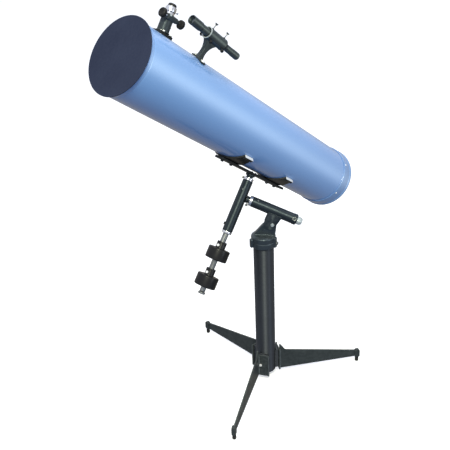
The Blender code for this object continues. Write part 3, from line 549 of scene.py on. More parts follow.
def lathe(name, at, profile, material, body, nodes=(), radius=0.0008, steps=72, **more):
    """One turned piece with rounded corners."""
    bm = lathe_mesh(bmesh.new(), rounded(profile, radius, is_ring(profile)), steps, **more)
    return piece(name, bm, at, material, body, nodes, weighted=False)


def box(name, at, low, high, material, body, nodes=(), bevel=0.0008):
    return piece(name, box_mesh(bmesh.new(), low, high, bevel), at, material, body, nodes)


def plate(name, at, outline, low, high, material, body, nodes=(), bevel=0.0008):
    return piece(name, plate_mesh(bmesh.new(), outline, low, high, bevel), at, material, body, nodes)


def cast(name, bm, at, material, body, nodes, voxel=0.0008, rounds=3):
    """One casting: overlapping shells fused, with soft fillets where they meet."""
    obj = piece(name, bm, at, material, body, nodes, angle=50, weighted=False)
    fuse = obj.modifiers.new("fuse", "REMESH")
    fuse.mode = "VOXEL"
    fuse.voxel_size = voxel
    fuse.use_smooth_shade = True
    soften = obj.modifiers.new("soften", "SMOOTH")
    soften.factor = 0.5
    soften.iterations = rounds
    graph = bpy.context.evaluated_depsgraph_get()
    mesh = bpy.data.meshes.new_from_object(obj.evaluated_get(graph))
    obj.modifiers.clear()
    obj.data = mesh
    if not mesh.materials:
        mesh.materials.append(mats[material])
    mesh.shade_smooth()
    return obj


def disc_profile(radius, low, high):
    """A plain disc or plug."""
    return [(0, high), (radius, high), (radius, low), (0, low)]


def sleeve_profile(inner, outer, low, high):
    """A plain ring."""
    return [(outer, high), (outer, low), (inner, low), (inner, high)]


def hex_profile(radius, thick):
    """A head with its outer edge bevelled, hexagonal when it is turned in 6 steps."""
    return [(0, thick), (radius * 0.82, thick), (radius, thick * 0.78), (radius, 0), (0, 0)]


def bolt(name, at, body, head_r, thick, material="steel", washer=0.0, socket=True):
    """A bolt whose head stands along Z: hexagonal, or round with a socket."""
    bm = bmesh.new()
    if washer:
        lathe_mesh(bm, rounded(disc_profile(washer, 0, 0.001), 0.0003), 40)
    base = 0.0009 if washer else 0.0
    if socket:
        inner = head_r * 0.52
        profile = [
            (0, base + thick * 0.45), (inner, base + thick * 0.45), (inner, base + thick),
            (head_r, base + thick), (head_r, base), (0, base),
        ]
        lathe_mesh(bm, rounded(profile, 0.0005), 36)
    else:
        lathe_mesh(bm, hex_profile(head_r, base + thick), 6)
    return piece(name, bm, at, material, body)


def thumb_screw(name, at, body, material, inner, outer, head_r, head_thick, stem_r, ribs=14):
    """A screw along Z with a ribbed head at its outer end, for the CAD screw of the same name."""
    top = outer + head_thick
    profile = [
        (0, top - 0.0004), (head_r * 0.55, top - 0.0004), (head_r * 0.62, top), (head_r * 0.9, top),
        (head_r, top - 0.0007), (head_r, outer + 0.0007), (head_r * 0.86, outer), (stem_r * 1.5, outer),
        (stem_r, outer - 0.001),
    ]
    count = max(3, int((outer - inner) / 0.0011))
    for i in range(count):
        z = outer - 0.0012 - (outer - 0.0014 - inner) * i / count
        step = (outer - 0.0014 - inner) / count
        profile += [(stem_r, z - step * 0.2), (stem_r * 0.86, z - step * 0.6)]
    profile += [(stem_r * 0.8, inner), (0, inner)]
    flutes = (ribs, head_r * 0.1, head_r * 0.95)
    bm = lathe_mesh(bmesh.new(), profile, ribs * 5, flutes=flutes)
    return piece(name, bm, at, material, body, name.removesuffix("_head"), weighted=False)


def wing_screw(name, at, body):
    """A thin threaded stem along Z with a flat wing across its outer end."""
    bm = bmesh.new()
    stem = [(0, 0.0345), (0.0022, 0.0345), (0.0026, 0.0325), (0.0013, 0.0318)]
    for i in range(14):
        z = 0.0312 - 0.0012 * i
        stem += [(0.0015, z), (0.0012, z - 0.0006)]
    stem += [(0.0009, 0.0132), (0, 0.0132)]
    lathe_mesh(bm, stem, 24)
    wing = [
        (-0.0022, 0.0335), (-0.0036, 0.035), (-0.0064, 0.0368), (-0.0062, 0.0398), (-0.0036, 0.0402),
        (0, 0.0384), (0.0036, 0.0402), (0.0062, 0.0398), (0.0064, 0.0368), (0.0036, 0.035),
        (0.0022, 0.0335),
    ]
    plate_mesh(bm, rounded(wing, 0.0012, True), -0.0016, 0.0016, 0.0007, UPRIGHT)
    return piece(name, bm, at, "steel", body, name.removesuffix("_head"), weighted=False)


# ---- stand
def build_stand():
    wall = 0.003
    profile = sleeve_profile(PILLAR_R - wall, PILLAR_R, PILLAR_BOTTOM, PILLAR_TOP)
    lathe("pillar_tube", STAND, profile, "pillar", "stand", "pillar", steps=128)
    plug = disc_profile(PILLAR_R - wall, PILLAR_BOTTOM + 0.006, PILLAR_BOTTOM + 0.01)
    lathe("pillar_plug", STAND, plug, "pillar", "stand", steps=64)
    for side, azimuth in LEGS.items():
        build_leg(side, STAND @ turn(azimuth, "Z"))


def build_leg(side, at):
    edge = 0.022
    box(f"leg_pad_{side}", at, (PILLAR_R - 0.002, -edge, 0.04), (FLANGE_IN - 0.0002, edge, 0.134),
        "pillar", "stand", bevel=0.0012)
    bm = bmesh.new()
    bow = math.sqrt(PILLAR_R**2 - edge**2)
    for y in (-edge, edge):
        x = bow + 0.001
        rope_mesh(bm, ((x, y * 1.03, 0.042), (x, y * 1.03, 0.132)), 0.0022, 0.0007)
    piece(f"pad_weld_{side}", bm, at, "pillar", "stand", weighted=False)
    outline = [
        (FLANGE_OUT - 0.0045, 0.034), (LEG_REACH - 0.012, 0.026), (LEG_REACH - 0.012, 0.058), (0.08, 0.126),
        (FLANGE_OUT + 0.001, 0.157), (FLANGE_OUT - 0.0045, 0.157),
    ]
    plate(f"leg_blade_{side}", at @ shift(y=LEG_OFFSET) @ UPRIGHT, rounded(outline, 0.004, True),
          -0.0035, 0.0035, "leg", "stand", f"leg_{side}", 0.0009)
    plate_out, low, high = FLANGE_OUT - 0.003, 0.03, 0.1355
    box(f"leg_flange_{side}", at, (FLANGE_IN, -0.028, low), (plate_out, 0.028, high), "leg", "stand",
        bevel=0.0013)
    # rim strips in the lighter paint: a painted highlight on the flange edges
    bm = bmesh.new()
    for y in (-0.0262, 0.0262):
        box_mesh(bm, (plate_out - 0.001, y - 0.0018, low), (plate_out + 0.0022, y + 0.0018, high), 0.001)
    piece(f"leg_flange_rim_{side}", bm, at, "edge", "stand")
    # weld beads in the same lighter paint: a painted highlight
    bm = bmesh.new()
    for y in (LEG_OFFSET - 0.0042, LEG_OFFSET + 0.0042):
        x = plate_out + 0.0008
        rope_mesh(bm, ((x, y, 0.036), (x, y, 0.132)), 0.0023, 0.0012, 0.0046)
    piece(f"leg_weld_{side}", bm, at, "edge", "stand", weighted=False)
    bm = bmesh.new()
    x, half = LEG_REACH - 0.0025, 0.008
    side_view = [
        (LEG_REACH - 0.014, 0.022), (LEG_REACH + 0.009, 0.022), (LEG_REACH + 0.009, 0.054),
        (LEG_REACH + 0.004, 0.0605), (LEG_REACH - 0.009, 0.0605), (LEG_REACH - 0.014, 0.056),
    ]
    plate_mesh(bm, rounded(side_view, 0.0045, True), -half, half, 0.0022, UPRIGHT)
    piece(f"leg_end_{side}", bm, at @ shift(y=LEG_OFFSET), "leg", "stand")
    foot = [
        (0, 0.0217), (0.0068, 0.0217), (0.0078, 0.019), (0.008, 0.015), (0.0072, 0.014), (0.0072, 0.0125),
        (0.008, 0.0115), (0.0085, 0.002), (0.0075, 0), (0, 0),
    ]
    lathe(f"leg_foot_{side}", at @ shift(x, LEG_OFFSET), foot, "rubber", "stand", f"foot_{side}",
          radius=0.0006, steps=40)
    face = at @ shift(plate_out, 0, 0) @ turn(90, "Y")
    bolt(f"leg_bolt_{side}", face @ shift(-0.083, -0.009), "stand", 0.0052, 0.0046, "bright", 0.0062,
         socket=False)


# ---- head
def wedge_point():
    place = STAND.inverted() @ joint_at("latitude")
    return place.x, place.z


def build_head():
    bolt_x, bolt_z = wedge_point()
    bm = bmesh.new()
    profile = [
        (0, COLLAR_TOP + 0.001), (COLLAR_R - 0.009, COLLAR_TOP + 0.001),
        (COLLAR_R - 0.001, COLLAR_TOP - 0.0035), (COLLAR_R, COLLAR_TOP - 0.006),
        (COLLAR_R, COLLAR_TOP - 0.02), (COLLAR_R - 0.0016, COLLAR_TOP - 0.0215),
        (COLLAR_R - 0.0016, COLLAR_TOP - 0.025), (COLLAR_R, COLLAR_TOP - 0.0265),
        (COLLAR_R, COLLAR_BOTTOM + 0.002), (COLLAR_R - 0.0015, COLLAR_BOTTOM),
        (PILLAR_R + 0.0009, COLLAR_BOTTOM), (PILLAR_R + 0.0009, PILLAR_TOP + 0.0009),
        (0, PILLAR_TOP + 0.0009),
    ]
    lathe_mesh(bm, rounded(profile, 0.0015), 96)
    web = [(-0.036, 0.683), (-0.034, 0.692), (-0.004, 0.7285), (bolt_x - 0.0155, bolt_z + 0.0045)]
    web += arc(bolt_x, bolt_z, 0.0158, 160, 20, 16)
    web += [(0.05, 0.7085), (0.046, 0.683)]
    plate_mesh(bm, web, -0.0106, 0.0106, 0.0015, UPRIGHT)
    for y in (-0.0102, 0.0102):
        rib = [
            (-0.0352, 0.685), (-0.0335, 0.6922), (-0.0038, 0.7278), (bolt_x - 0.015, bolt_z + 0.004),
            (bolt_x - 0.007, bolt_z - 0.008), (0.001, 0.715), (-0.018, 0.692), (-0.018, 0.685),
        ]
        plate_mesh(bm, rib, y - 0.0024, y + 0.0024, 0.001, UPRIGHT)
        lathe_mesh(bm, disc_profile(0.015, -0.0024, 0.0024), 40, matrix=shift(bolt_x, y, bolt_z) @ UPRIGHT)
    for azimuth, top in ((213, 0.676), (338, 0.684)):
        box_mesh(bm, (0.044, -0.0082, 0.64), (0.0575, 0.0082, top), 0.003, turn(azimuth, "Z"))
    cast("head_casting", bm, STAND, "cast", "head", "pillar_head", voxel=0.0012)
    for side, height in (("near", 0.0218), ("far", -0.0218)):
        flip = Matrix() if side == "near" else turn(180, "X")
        at = STAND @ shift(bolt_x, 0, bolt_z) @ UPRIGHT @ shift(z=height) @ flip
        bm = bmesh.new()
        lathe_mesh(bm, rounded(disc_profile(0.0072, 0, 0.001), 0.0003), 40)
        lathe_mesh(bm, hex_profile(0.006, 0.007), 6)
        lathe_mesh(bm, rounded(disc_profile(0.0045, -0.02, 0.008), 0.0006), 30)
        nodes = "latitude_bolt" if side == "near" else ()
        piece(f"wedge_bolt_{side}", bm, at, "zinc", "head", nodes)
    clamp = STAND @ across(338, 0.66)
    thumb_screw("azimuth_clamp_screw_head", clamp, "azimuth_clamp", "steel", 0.0418, 0.058, 0.0065, 0.006,
                0.0032)


# ---- polar axis
def build_polar():
    radius = 0.0206
    bm = bmesh.new()
    profile = [
        (radius - 0.0012, RA_TOP), (radius, RA_TOP - 0.0012), (radius, RA_END + 0.0155),
        (radius + 0.0008, RA_END + 0.0145), (radius + 0.0008, RA_END + 0.002), (radius - 0.001, RA_END),
        (BORE_R, RA_END), (BORE_R, RA_TOP),
    ]
    lathe_mesh(bm, rounded(profile, 0.0008, True), 96)
    piece("polar_housing_barrel", bm, POLAR, "housing", "polar_housing", "ra_housing", weighted=False)
    outline = [(-0.006, -0.029), (WEDGE_X - 0.008, -0.0285)]
    outline += arc(WEDGE_X - 0.008, -0.0455, 0.017, 90, 180, 14)
    outline += arc(WEDGE_X - 0.008, -0.0605, 0.017, 180, 270, 14)
    outline += [(WEDGE_X + 0.002, -0.0775), (-0.0135, -0.084), (-0.006, -0.0842)]
    for side, low, high in (("near", 0.0135, 0.02), ("far", -0.02, -0.0135)):
        plate(f"polar_lug_{side}", POLAR @ UPRIGHT, outline, low, high, "housing", "polar_housing",
              bevel=0.0014)
    bm = bmesh.new()
    for y in (-0.0198, 0.0198):
        x = -math.sqrt(radius**2 - 0.0198**2) - 0.0006
        rope_mesh(bm, ((x, y, -0.03), (x, y, -0.0836)), 0.0016, 0.0004)
    piece("polar_lug_fillet", bm, POLAR, "housing", "polar_housing", weighted=False)
    plug = POLAR @ across(297, -0.129)
    ring = sleeve_profile(0.0052, 0.0072, 0, 0.0026)
    lathe("polar_plug_ring", plug @ shift(z=radius + 0.0004), ring, "steel", "polar_housing",
          radius=0.0005, steps=40)
    centre = disc_profile(0.005, -0.002, 0.0016)
    lathe("polar_plug_centre", plug @ shift(z=radius + 0.0004), centre, "housing", "polar_housing", steps=36)
    bolt("polar_grub_screw", POLAR @ across(330, RA_TOP - 0.02) @ shift(z=radius - 0.001),
         "polar_housing", 0.003, 0.0022)

    flange_top = POLAR_TO_DEC - 0.0202 - GAP
    neck = RA_TOP + 0.0117
    profile = [
        (0, flange_top), (0.015, flange_top), (0.015, flange_top - 0.003), (0.0135, flange_top - 0.005),
        (0.0135, neck), (SHAFT_R, neck), (SHAFT_R, RA_END - 0.018), (0, RA_END - 0.018),
    ]
    lathe("polar_spindle", SHAFT, profile, "housing", "polar_shaft", "ra_shaft", radius=0.001)
    profile = [
        (0.0195, neck - GAP), (0.0207, neck - 0.0015), (0.0207, RA_TOP + 0.0073), (0.0199, RA_TOP + 0.0066),
        (0.0199, RA_TOP + 0.0058), (0.0207, RA_TOP + 0.005), (0.0207, RA_TOP + 0.0013),
        (0.0197, RA_TOP + GAP), (BORE_R, RA_TOP + GAP), (BORE_R, neck - GAP),
    ]
    lathe("polar_bright_collar", SHAFT, profile, "chrome", "polar_shaft", "ra_collar",
          radius=0.0004, steps=96)
    profile = [
        (0, RA_END - 0.022), (0.0085, RA_END - 0.0218), (0.012, RA_END - 0.02), (0.0155, RA_END - 0.013),
        (0.0155, RA_END - 0.002), (0.0145, RA_END - GAP), (0, RA_END - GAP),
    ]
    lathe("polar_end_nut", SHAFT, profile, "zinc", "polar_shaft", "ra_end_nut", radius=0.0014, steps=96,
          flutes=(16, 0.0006, 0.015))
    thumb_screw("ra_lock_screw_head", SHAFT @ across(210, POLAR_TO_DEC - 0.029), "ra_lock", "steel", 0.0139,
                0.0215, 0.0048, 0.006, 0.0022)


# ---- declination axis
def build_declination():
    radius = 0.0202
    profile = [
        (radius - 0.0012, DEC_TOP), (radius, DEC_TOP - 0.0012), (radius, DEC_END + 0.0012),
        (radius - 0.0012, DEC_END), (BORE_R, DEC_END), (BORE_R, DEC_TOP),
    ]
    lathe("dec_housing_barrel", DEC, profile, "housing", "polar_shaft", "dec_housing",
          radius=0.0008, steps=96)
    high, low = DEC_TOP + 0.0118, DEC_TOP + GAP
    profile = [
        (0.0186, high), (0.0198, high - 0.0014), (0.0198, low + 0.006), (0.0191, low + 0.0054),
        (0.0191, low + 0.0046), (0.0198, low + 0.004), (0.0198, low + 0.0012), (0.0186, low), (BORE_R, low),
        (BORE_R, high),
    ]
    lathe("dec_bright_collar", DEC, profile, "chrome", "polar_shaft", "dec_collar", radius=0.0004, steps=96)
    high, low = DEC_END - GAP, DEC_END - 0.01
    profile = [
        (0.0186, high), (0.0198, high - 0.0014), (0.0198, low + 0.0014), (0.0186, low), (BORE_R, low),
        (BORE_R, high),
    ]
    lathe("dec_bright_end_ring", DEC, profile, "chrome", "polar_shaft", "dec_end_ring",
          radius=0.0006, steps=96)
    thumb_screw("dec_lock_screw_head", DEC @ across(170, DEC_TOP + 0.006), "dec_lock", "steel", 0.012,
                0.0215, 0.0048, 0.006, 0.0022)
    bolt("dec_side_screw", DEC @ across(182, -0.116) @ shift(z=radius - 0.0008), "polar_shaft",
         0.0052, 0.005, "fitting")
    bolt("dec_grub_screw", DEC @ across(250, 0.03) @ shift(z=radius - 0.0014), "polar_shaft", 0.003, 0.0018)

    bottom = DEC_TO_TUBE - TUBE_R - 0.006 - 0.009 - 4 * GAP
    neck = DEC_TOP + 0.0121
    profile = [
        (0, bottom), (0.0185, bottom), (0.0185, bottom - 0.006), (0.013, bottom - 0.008), (0.013, neck),
        (SHAFT_R, neck), (SHAFT_R, neck - 0.002), (0, neck - 0.002),
    ]
    lathe("saddle_flange", BAR, profile, "housing", OTA, radius=0.0012)
    profile = [
        (0, neck - 0.003), (SHAFT_R, neck - 0.003), (SHAFT_R, SHAFT_END + 0.01), (0.007, SHAFT_END + 0.008),
        (0.007, SHAFT_END), (0, SHAFT_END),
    ]
    lathe("counterweight_shaft", BAR, profile, "steel", OTA, "dec_shaft", steps=64)
    profile = [
        (0.013, SHAFT_END + 0.0077), (0.014, SHAFT_END + 0.0065), (0.014, SHAFT_END + 0.001),
        (0.013, SHAFT_END - 0.001), (0.0073, SHAFT_END - 0.001), (0.0073, SHAFT_END + 0.0077),
    ]
    lathe("shaft_stop_ring", BAR, profile, "steel", OTA, "shaft_end_stop", steps=60)
    for which, height in WEIGHTS.items():
        build_weight(which, BAR @ shift(z=height))


def build_weight(which, at):
    hub, rim, thick = 0.019, 0.043, 0.046
    profile = [
        (hub - 0.001, 0.0275), (hub, 0.0265), (hub, 0), (rim - 0.0025, 0), (rim, -0.0025),
        (rim, -thick + 0.0025), (rim - 0.0025, -thick), (0.017, -thick), (0.016, -thick + 0.0012),
        (BORE_R, -thick + 0.0012), (BORE_R, 0.0275),
    ]
    lathe(f"{which}_weight_disc", at, profile, "weight", f"{which}_weight", f"{which}_weight",
          radius=0.0012, steps=112)
    lock = at @ across(9, 0.011)
    boss = [(0, 0.0196), (0.0062, 0.0196), (0.0072, 0.0184), (0.0072, 0.015), (0, 0.015)]
    lathe(f"{which}_weight_boss", lock, boss, "weight", f"{which}_weight", steps=36)
    thumb_screw(f"{which}_weight_lock_head", lock, f"{which}_weight_lock", "bright", 0.0118, 0.0205, 0.0055,
                0.005, 0.0028)


# ---- saddle and tube
def build_saddle():
    top = -(TUBE_R + 0.006 + 2 * GAP)
    box("saddle_plate", TUBE, (top - 0.009, -0.019, -0.21), (top, 0.019, 0.21), "fitting",
        OTA, "saddle_bar", 0.0014)
    under = TUBE @ shift(x=top - 0.009) @ turn(-90, "Y")
    for i, z in enumerate((0.186, 0.132, -0.113, -0.167)):
        bolt(f"saddle_bolt_{i + 1}", under @ shift(z, 0), OTA, 0.0058, 0.0052, "fitting", 0.0078,
             socket=False)
    for i, (y, z) in enumerate(((-0.012, 0.012), (0.012, 0.012), (-0.012, -0.012), (0.012, -0.012))):
        bolt(f"flange_bolt_{i + 1}", TUBE @ shift(top + 0.0004, y, z) @ turn(90, "Y"), OTA,
             0.0032, 0.0022, "steel")
    for name, height in (("front", 0.151), ("rear", -0.131)):
        build_cradle(name, TUBE @ shift(z=height))


def build_cradle(name, at):
    """A bent plate that hugs the tube, narrow at its two clamped ends."""
    inner, outer = TUBE_R + GAP, TUBE_R + 0.0063
    bm = bmesh.new()
    count, rows = 56, 8
    reach = math.radians(40.2)
    grids = []
    for radius in (inner, outer):
        grid = []
        for i in range(count + 1):
            angle = math.pi + reach * (-1 + 2 * i / count)
            side = abs(radius * math.sin(angle))
            half = 0.049 if side < 0.02 else 0.049 - (side - 0.02) * 0.0245 / 0.0575
            heights = [half * (-1 + 2 * k / rows) for k in range(rows + 1)]
            x, y = radius * math.cos(angle), radius * math.sin(angle)
            grid.append([bm.verts.new((x, y, z)) for z in heights])
        grids.append(grid)
    slab_mesh(bm, *grids)
    round_edges(bm, [e for e in bm.edges if e.calc_face_angle() > 1.0], 0.001, 2)
    piece(f"cradle_{name}_band", bm, at, "fitting", OTA, f"cradle_{name}")
    for side, angle in (("near", 219.5), ("far", 140.5)):
        turned_at = at @ turn(angle, "Z")
        box(f"cradle_{name}_ear_{side}", turned_at, (inner + 0.001, -0.005, -0.0235),
            (inner + 0.0125, 0.005, 0.0235), "fitting", OTA, bevel=0.001)
        lift = -0.0063 if side == "far" else 0.005
        # tabs in the near-white finish: a painted highlight on the clamp ends
        box(f"cradle_{name}_tab_{side}", turned_at, (inner + 0.0006, lift, -0.0238),
            (inner + 0.0122, lift + 0.0013, 0.0238), "bright", OTA, bevel=0.0004)
        for end, z in (("a", -0.016), ("b", 0.016)):
            outward = turned_at @ shift(inner + 0.0125, 0, z) @ turn(90, "Y")
            bolt(f"cradle_{name}_bolt_{side}_{end}", outward, OTA, 0.003, 0.0024, "fitting")


def build_tube():
    inner = TUBE_R - TUBE_WALL
    profile = [
        (inner, TUBE_FRONT - 0.0003), (TUBE_R - 0.0003, TUBE_FRONT), (TUBE_R, TUBE_FRONT - 0.0006),
        (TUBE_R, TUBE_FRONT - 0.0175), (TUBE_R - 0.0005, TUBE_FRONT - 0.0187),
        (TUBE_R - 0.0005, TUBE_FRONT - 0.0199), (TUBE_R, TUBE_FRONT - 0.0211),
    ]
    bands = 40
    for i in range(bands + 1):
        profile.append((TUBE_R, TUBE_FRONT - 0.022 - (TUBE_FRONT - 0.022 - TUBE_BACK) * i / bands))
    profile += [(inner, TUBE_BACK), (inner, TUBE_FRONT - 0.022)]
    bm = lathe_mesh(bmesh.new(), profile, 160)
    shell = piece("tube_skin", bm, TUBE, "blue", OTA, "tube_shell", weighted=False)
    shell.data.materials.append(mats["inside"])
    for face in shell.data.polygons:
        middle = face.center
        if math.hypot(middle.x, middle.y) < TUBE_R - 0.0008:
            face.material_index = 1
    seam = TUBE @ turn(176, "Z")
    box("tube_seam", seam, (TUBE_R - 0.0004, -0.004, TUBE_BACK + 0.06),
        (TUBE_R + 0.0003, 0.004, TUBE_FRONT - 0.03), "blue", OTA, bevel=0.0003)
    outer, lip = 0.1242, 0.126
    profile = [
        (TUBE_R + GAP, RING_BACK + 0.06), (TUBE_R + 0.0022, RING_BACK + 0.0602),
        (outer - 0.0004, RING_BACK + 0.0585), (outer, RING_BACK + 0.056), (outer, RING_BACK + 0.017),
        (outer - 0.0009, RING_BACK + 0.0155), (outer - 0.0009, RING_BACK + 0.0135),
        (lip - 0.0004, RING_BACK + 0.011), (lip, RING_BACK + 0.0095), (lip, RING_BACK + 0.0015),
        (lip - 0.0015, RING_BACK), (0.108, RING_BACK), (0.108, TUBE_BACK - GAP),
        (TUBE_R + GAP, TUBE_BACK - GAP),
    ]
    lathe("tube_rear_ring", TUBE, profile, "ring_blue", OTA, "rear_ring", radius=0.0012, steps=160)
    for i in range(6):
        at = TUBE @ across(-115.6 + 60 * i, -0.446) @ shift(z=outer - 0.0003)
        bolt(f"ring_screw_{i + 1}", at, OTA, 0.0036, 0.0018, "bright")
    rim, face, back = inner - 0.0006, TUBE_FRONT + 0.0028, TUBE_FRONT + GAP
    profile = [
        (0, face - 0.0005), (COVER_R - 0.0052, face - 0.0005), (COVER_R - 0.004, face), (COVER_R, face),
        (COVER_R, back), (rim, back), (rim, TUBE_FRONT - 0.018), (rim - 0.0015, TUBE_FRONT - 0.018),
        (rim - 0.0015, back), (0, back),
    ]
    lathe("cover_disc", TUBE, profile, "navy", "dust_cover", "dust_cover", radius=0.0004, steps=160)


def build_optics():
    """The rear cell and what shows through it; the rest are CAD pieces with their finish."""
    low = TUBE_BACK + GAP
    profile = [(0.1185, low + 0.006), (0.1185, low), (0.02, low), (0.02, low + 0.006)]
    cell = lathe("rear_cell", TUBE, profile, "cell", OTA, "mirror_cell", steps=128)
    bm = bmesh.new()
    for i in range(3):
        vent = turn(60 + 120 * i, "Z") @ shift(0.072, 0, low)
        knob_hole = turn(120 * i, "Z") @ shift(0.082, 0, low)
        lathe_mesh(bm, disc_profile(0.022, -0.02, 0.02), 40, vent)
        lathe_mesh(bm, disc_profile(0.0038, -0.02, 0.02), 24, knob_hole)
    cut_from(cell, bm)
    for i in range(3):
        at = TUBE @ turn(120 * i, "Z") @ shift(0.082, 0, low)
        profile = [
            (0, 0.0137), (0.003, 0.0137), (0.003, -0.0003), (0.008, -0.0003), (0.0095, -0.0022),
            (0.0095, -0.0118), (0.008, -0.014), (0.0045, -0.014), (0.004, -0.0132), (0, -0.0132),
        ]
        lathe(f"collimation_grip_{i + 1}", at, profile, "knob", f"collimation_knob_{i + 1}",
              f"collimation_knob_{i + 1}", radius=0.0005, steps=90, flutes=(18, 0.0009, 0.0088))
        screw = TUBE @ turn(60 + 120 * i, "Z") @ shift(0.1125, 0, low) @ turn(180, "X")
        bolt(f"cell_screw_{i + 1}", screw, OTA, 0.0032, 0.0024, "steel")
    finishes = {"mirror_support": "cell", "primary_mirror": "mirror", "spider": "inside",
                "secondary_holder": "inside", "secondary_mirror": "mirror"}
    for node, material in finishes.items():
        mesh = frame["nodes"][node].data
        mesh.materials.clear()
        mesh.materials.append(mats[material])


def cut_from(obj, bm):
    """Cuts the mesh, which is in obj's own frame, out of obj."""
    bmesh.ops.recalc_face_normals(bm, faces=bm.faces)
    mesh = bpy.data.meshes.new("cutter")
    bm.to_mesh(mesh)
    bm.free()
    cutter = new_object("cutter", mesh)
    cutter.matrix_world = obj.matrix_world
    boolean = obj.modifiers.new("cut", "BOOLEAN")
    boolean.operation = "DIFFERENCE"
    boolean.object = cutter
    boolean.solver = "EXACT"
    bpy.context.view_layer.update()
    graph = bpy.context.evaluated_depsgraph_get()
    made = bpy.data.meshes.new_from_object(obj.evaluated_get(graph))
    obj.modifiers.clear()
    obj.data = made
    bpy.data.objects.remove(cutter)
    made.set_sharp_from_angle(angle=math.radians(SHARP))


# ---- focuser
def build_focuser():
    build_focuser_base()
    bm = bmesh.new()
    radius, bore, top = 0.0195, 0.0162, 0.186
    profile = [
        (radius, top), (radius, 0.1345), (radius + 0.003, 0.133), (radius + 0.003, 0.1303), (bore, 0.1303),
        (bore, top),
    ]
    lathe_mesh(bm, rounded(profile, 0.001, True))
    across_x = shift(0, -PINION_OUT, PINION_UP) @ turn(90, "Y")
    nose = [(0, 0.029), (0.005, 0.029), (0.0088, 0.0195), (0.0088, -0.02), (0, -0.02)]
    lathe_mesh(bm, rounded(nose, 0.0008), 40, across_x)
    cast("focuser_barrel", bm, FOCUSER, "barrel", OTA, "focuser_body", rounds=2)
    rim = sleeve_profile(bore - 0.0002, radius + 0.0008, top - 0.0045, top + 0.0008)
    lathe("focuser_rim", FOCUSER, rim, "barrel", OTA, radius=0.0006)
    bolt("focuser_tension_screw", FOCUSER @ shift(-0.015, -PINION_OUT, PINION_UP) @ turn(62, "X") @
         shift(z=0.0078), OTA, 0.0034, 0.0026, "zinc")
    bolt("focuser_lower_screw", FOCUSER @ shift(-0.012, -0.0178, 0.13), OTA, 0.0038, 0.004,
         "bright", socket=False)
    bolt("focuser_guide_screw", FOCUSER @ across(300, 0.15) @ shift(z=radius - 0.0008), OTA,
         0.0026, 0.0018, "fitting")
    tube_r = 0.0155
    profile = sleeve_profile(tube_r - 0.0015, tube_r, 0.112, 0.195)
    lathe("focus_drawtube", FOCUSER, profile, "chrome", "drawtube", "drawtube", radius=0.0004)
    profile = [
        (0.0158, 0.2125), (0.0166, 0.2118), (0.0166, 0.2085), (0.0175, 0.2076), (0.0175, 0.1975),
        (0.0165, 0.1953), (tube_r - 0.0015, 0.1953), (tube_r - 0.0015, 0.2125),
    ]
    lathe("focus_collar", FOCUSER, profile, "chrome", "drawtube", "eyepiece_collar",
          radius=0.0006, steps=96)
    thumb_screw("eyepiece_lock_screw_head", FOCUSER @ across(-20, 0.2035), "eyepiece_lock", "chrome", 0.0145,
                0.0215, 0.0036, 0.005, 0.0015)
    profile = [
        (0, 0.21), (0.007, 0.21), (0.0078, 0.2212), (0.0095, 0.2225), (0.0118, 0.2218), (0.0132, 0.219),
        (0.0138, 0.216), (0.0138, 0.17), (0.0128, 0.17), (0.0128, 0.208), (0, 0.208),
    ]
    lathe("eyepiece_barrel", FOCUSER, profile, "knob", "eyepiece", "eyepiece", radius=0.0007, steps=80)
    lens = [(0, 0.2136), (0.003, 0.2133), (0.0055, 0.2125), (0.0072, 0.2112), (0, 0.2108)]
    lathe("eyepiece_lens", FOCUSER, lens, "lens", "eyepiece", radius=0.0001, steps=48)
    span = 0.043
    profile = [
        (0, span - 0.0065), (0.0022, span - 0.0065), (0.0022, 0.0095), (0.0034, 0.009), (0.0034, -0.009),
        (0.0022, -0.0095), (0.0022, -span + 0.0065), (0, -span + 0.0065),
    ]
    lathe("pinion_rod", PINION, profile, "chrome", "pinion", "pinion_shaft", steps=40)
    for end, side in (("rear", 1), ("front", -1)):
        flip = Matrix() if side > 0 else turn(180, "X")
        profile = [
            (0, 0.0044), (0.006, 0.0046), (0.0082, 0.006), (0.0118, 0.006), (0.0145, 0.004),
            (0.0145, -0.005), (0.013, -0.0062), (0.0062, -0.0062), (0.0048, -0.0064), (0, -0.0064),
        ]
        lathe(f"focus_knob_{end}_grip", PINION @ shift(z=side * span) @ flip, profile, "knob", "pinion",
              f"focus_knob_{end}", radius=0.0008, steps=144, flutes=(24, 0.0008, 0.0138))


def build_focuser_base():
    """A square pad whose underside follows the tube, with a screw at each corner."""
    low, high, half_x, half_y = 0.1203, 0.13, 0.028, 0.023
    bm = bmesh.new()
    count = 24
    top, bottom = [], []
    for i in range(count + 1):
        y = half_y * (-1 + 2 * i / count)
        rise = math.sqrt(low**2 - y**2) + 0.0001
        crown = high - 0.003 * max(0.0, abs(y) - 0.015) / 0.008
        for rows, z in ((top, crown), (bottom, rise)):
            rows.append([bm.verts.new((x, y, z)) for x in (-half_x, -0.5 * half_x, 0.5 * half_x, half_x)])
    slab_mesh(bm, bottom, top)
    round_edges(bm, [e for e in bm.edges if e.calc_face_angle() > 0.8], 0.0012)
    base = piece("focuser_pad", bm, FOCUSER, "fitting", OTA, "focuser_base")
    cut_from(base, lathe_mesh(bmesh.new(), disc_profile(0.0167, 0.1, 0.16), 64))
    for i, (x, y) in enumerate(((-0.0225, -0.017), (0.0225, -0.017), (-0.0225, 0.017), (0.0225, 0.017))):
        bolt(f"focuser_pad_screw_{i + 1}", FOCUSER @ shift(x, y, 0.129), OTA, 0.0036, 0.0024, "steel")


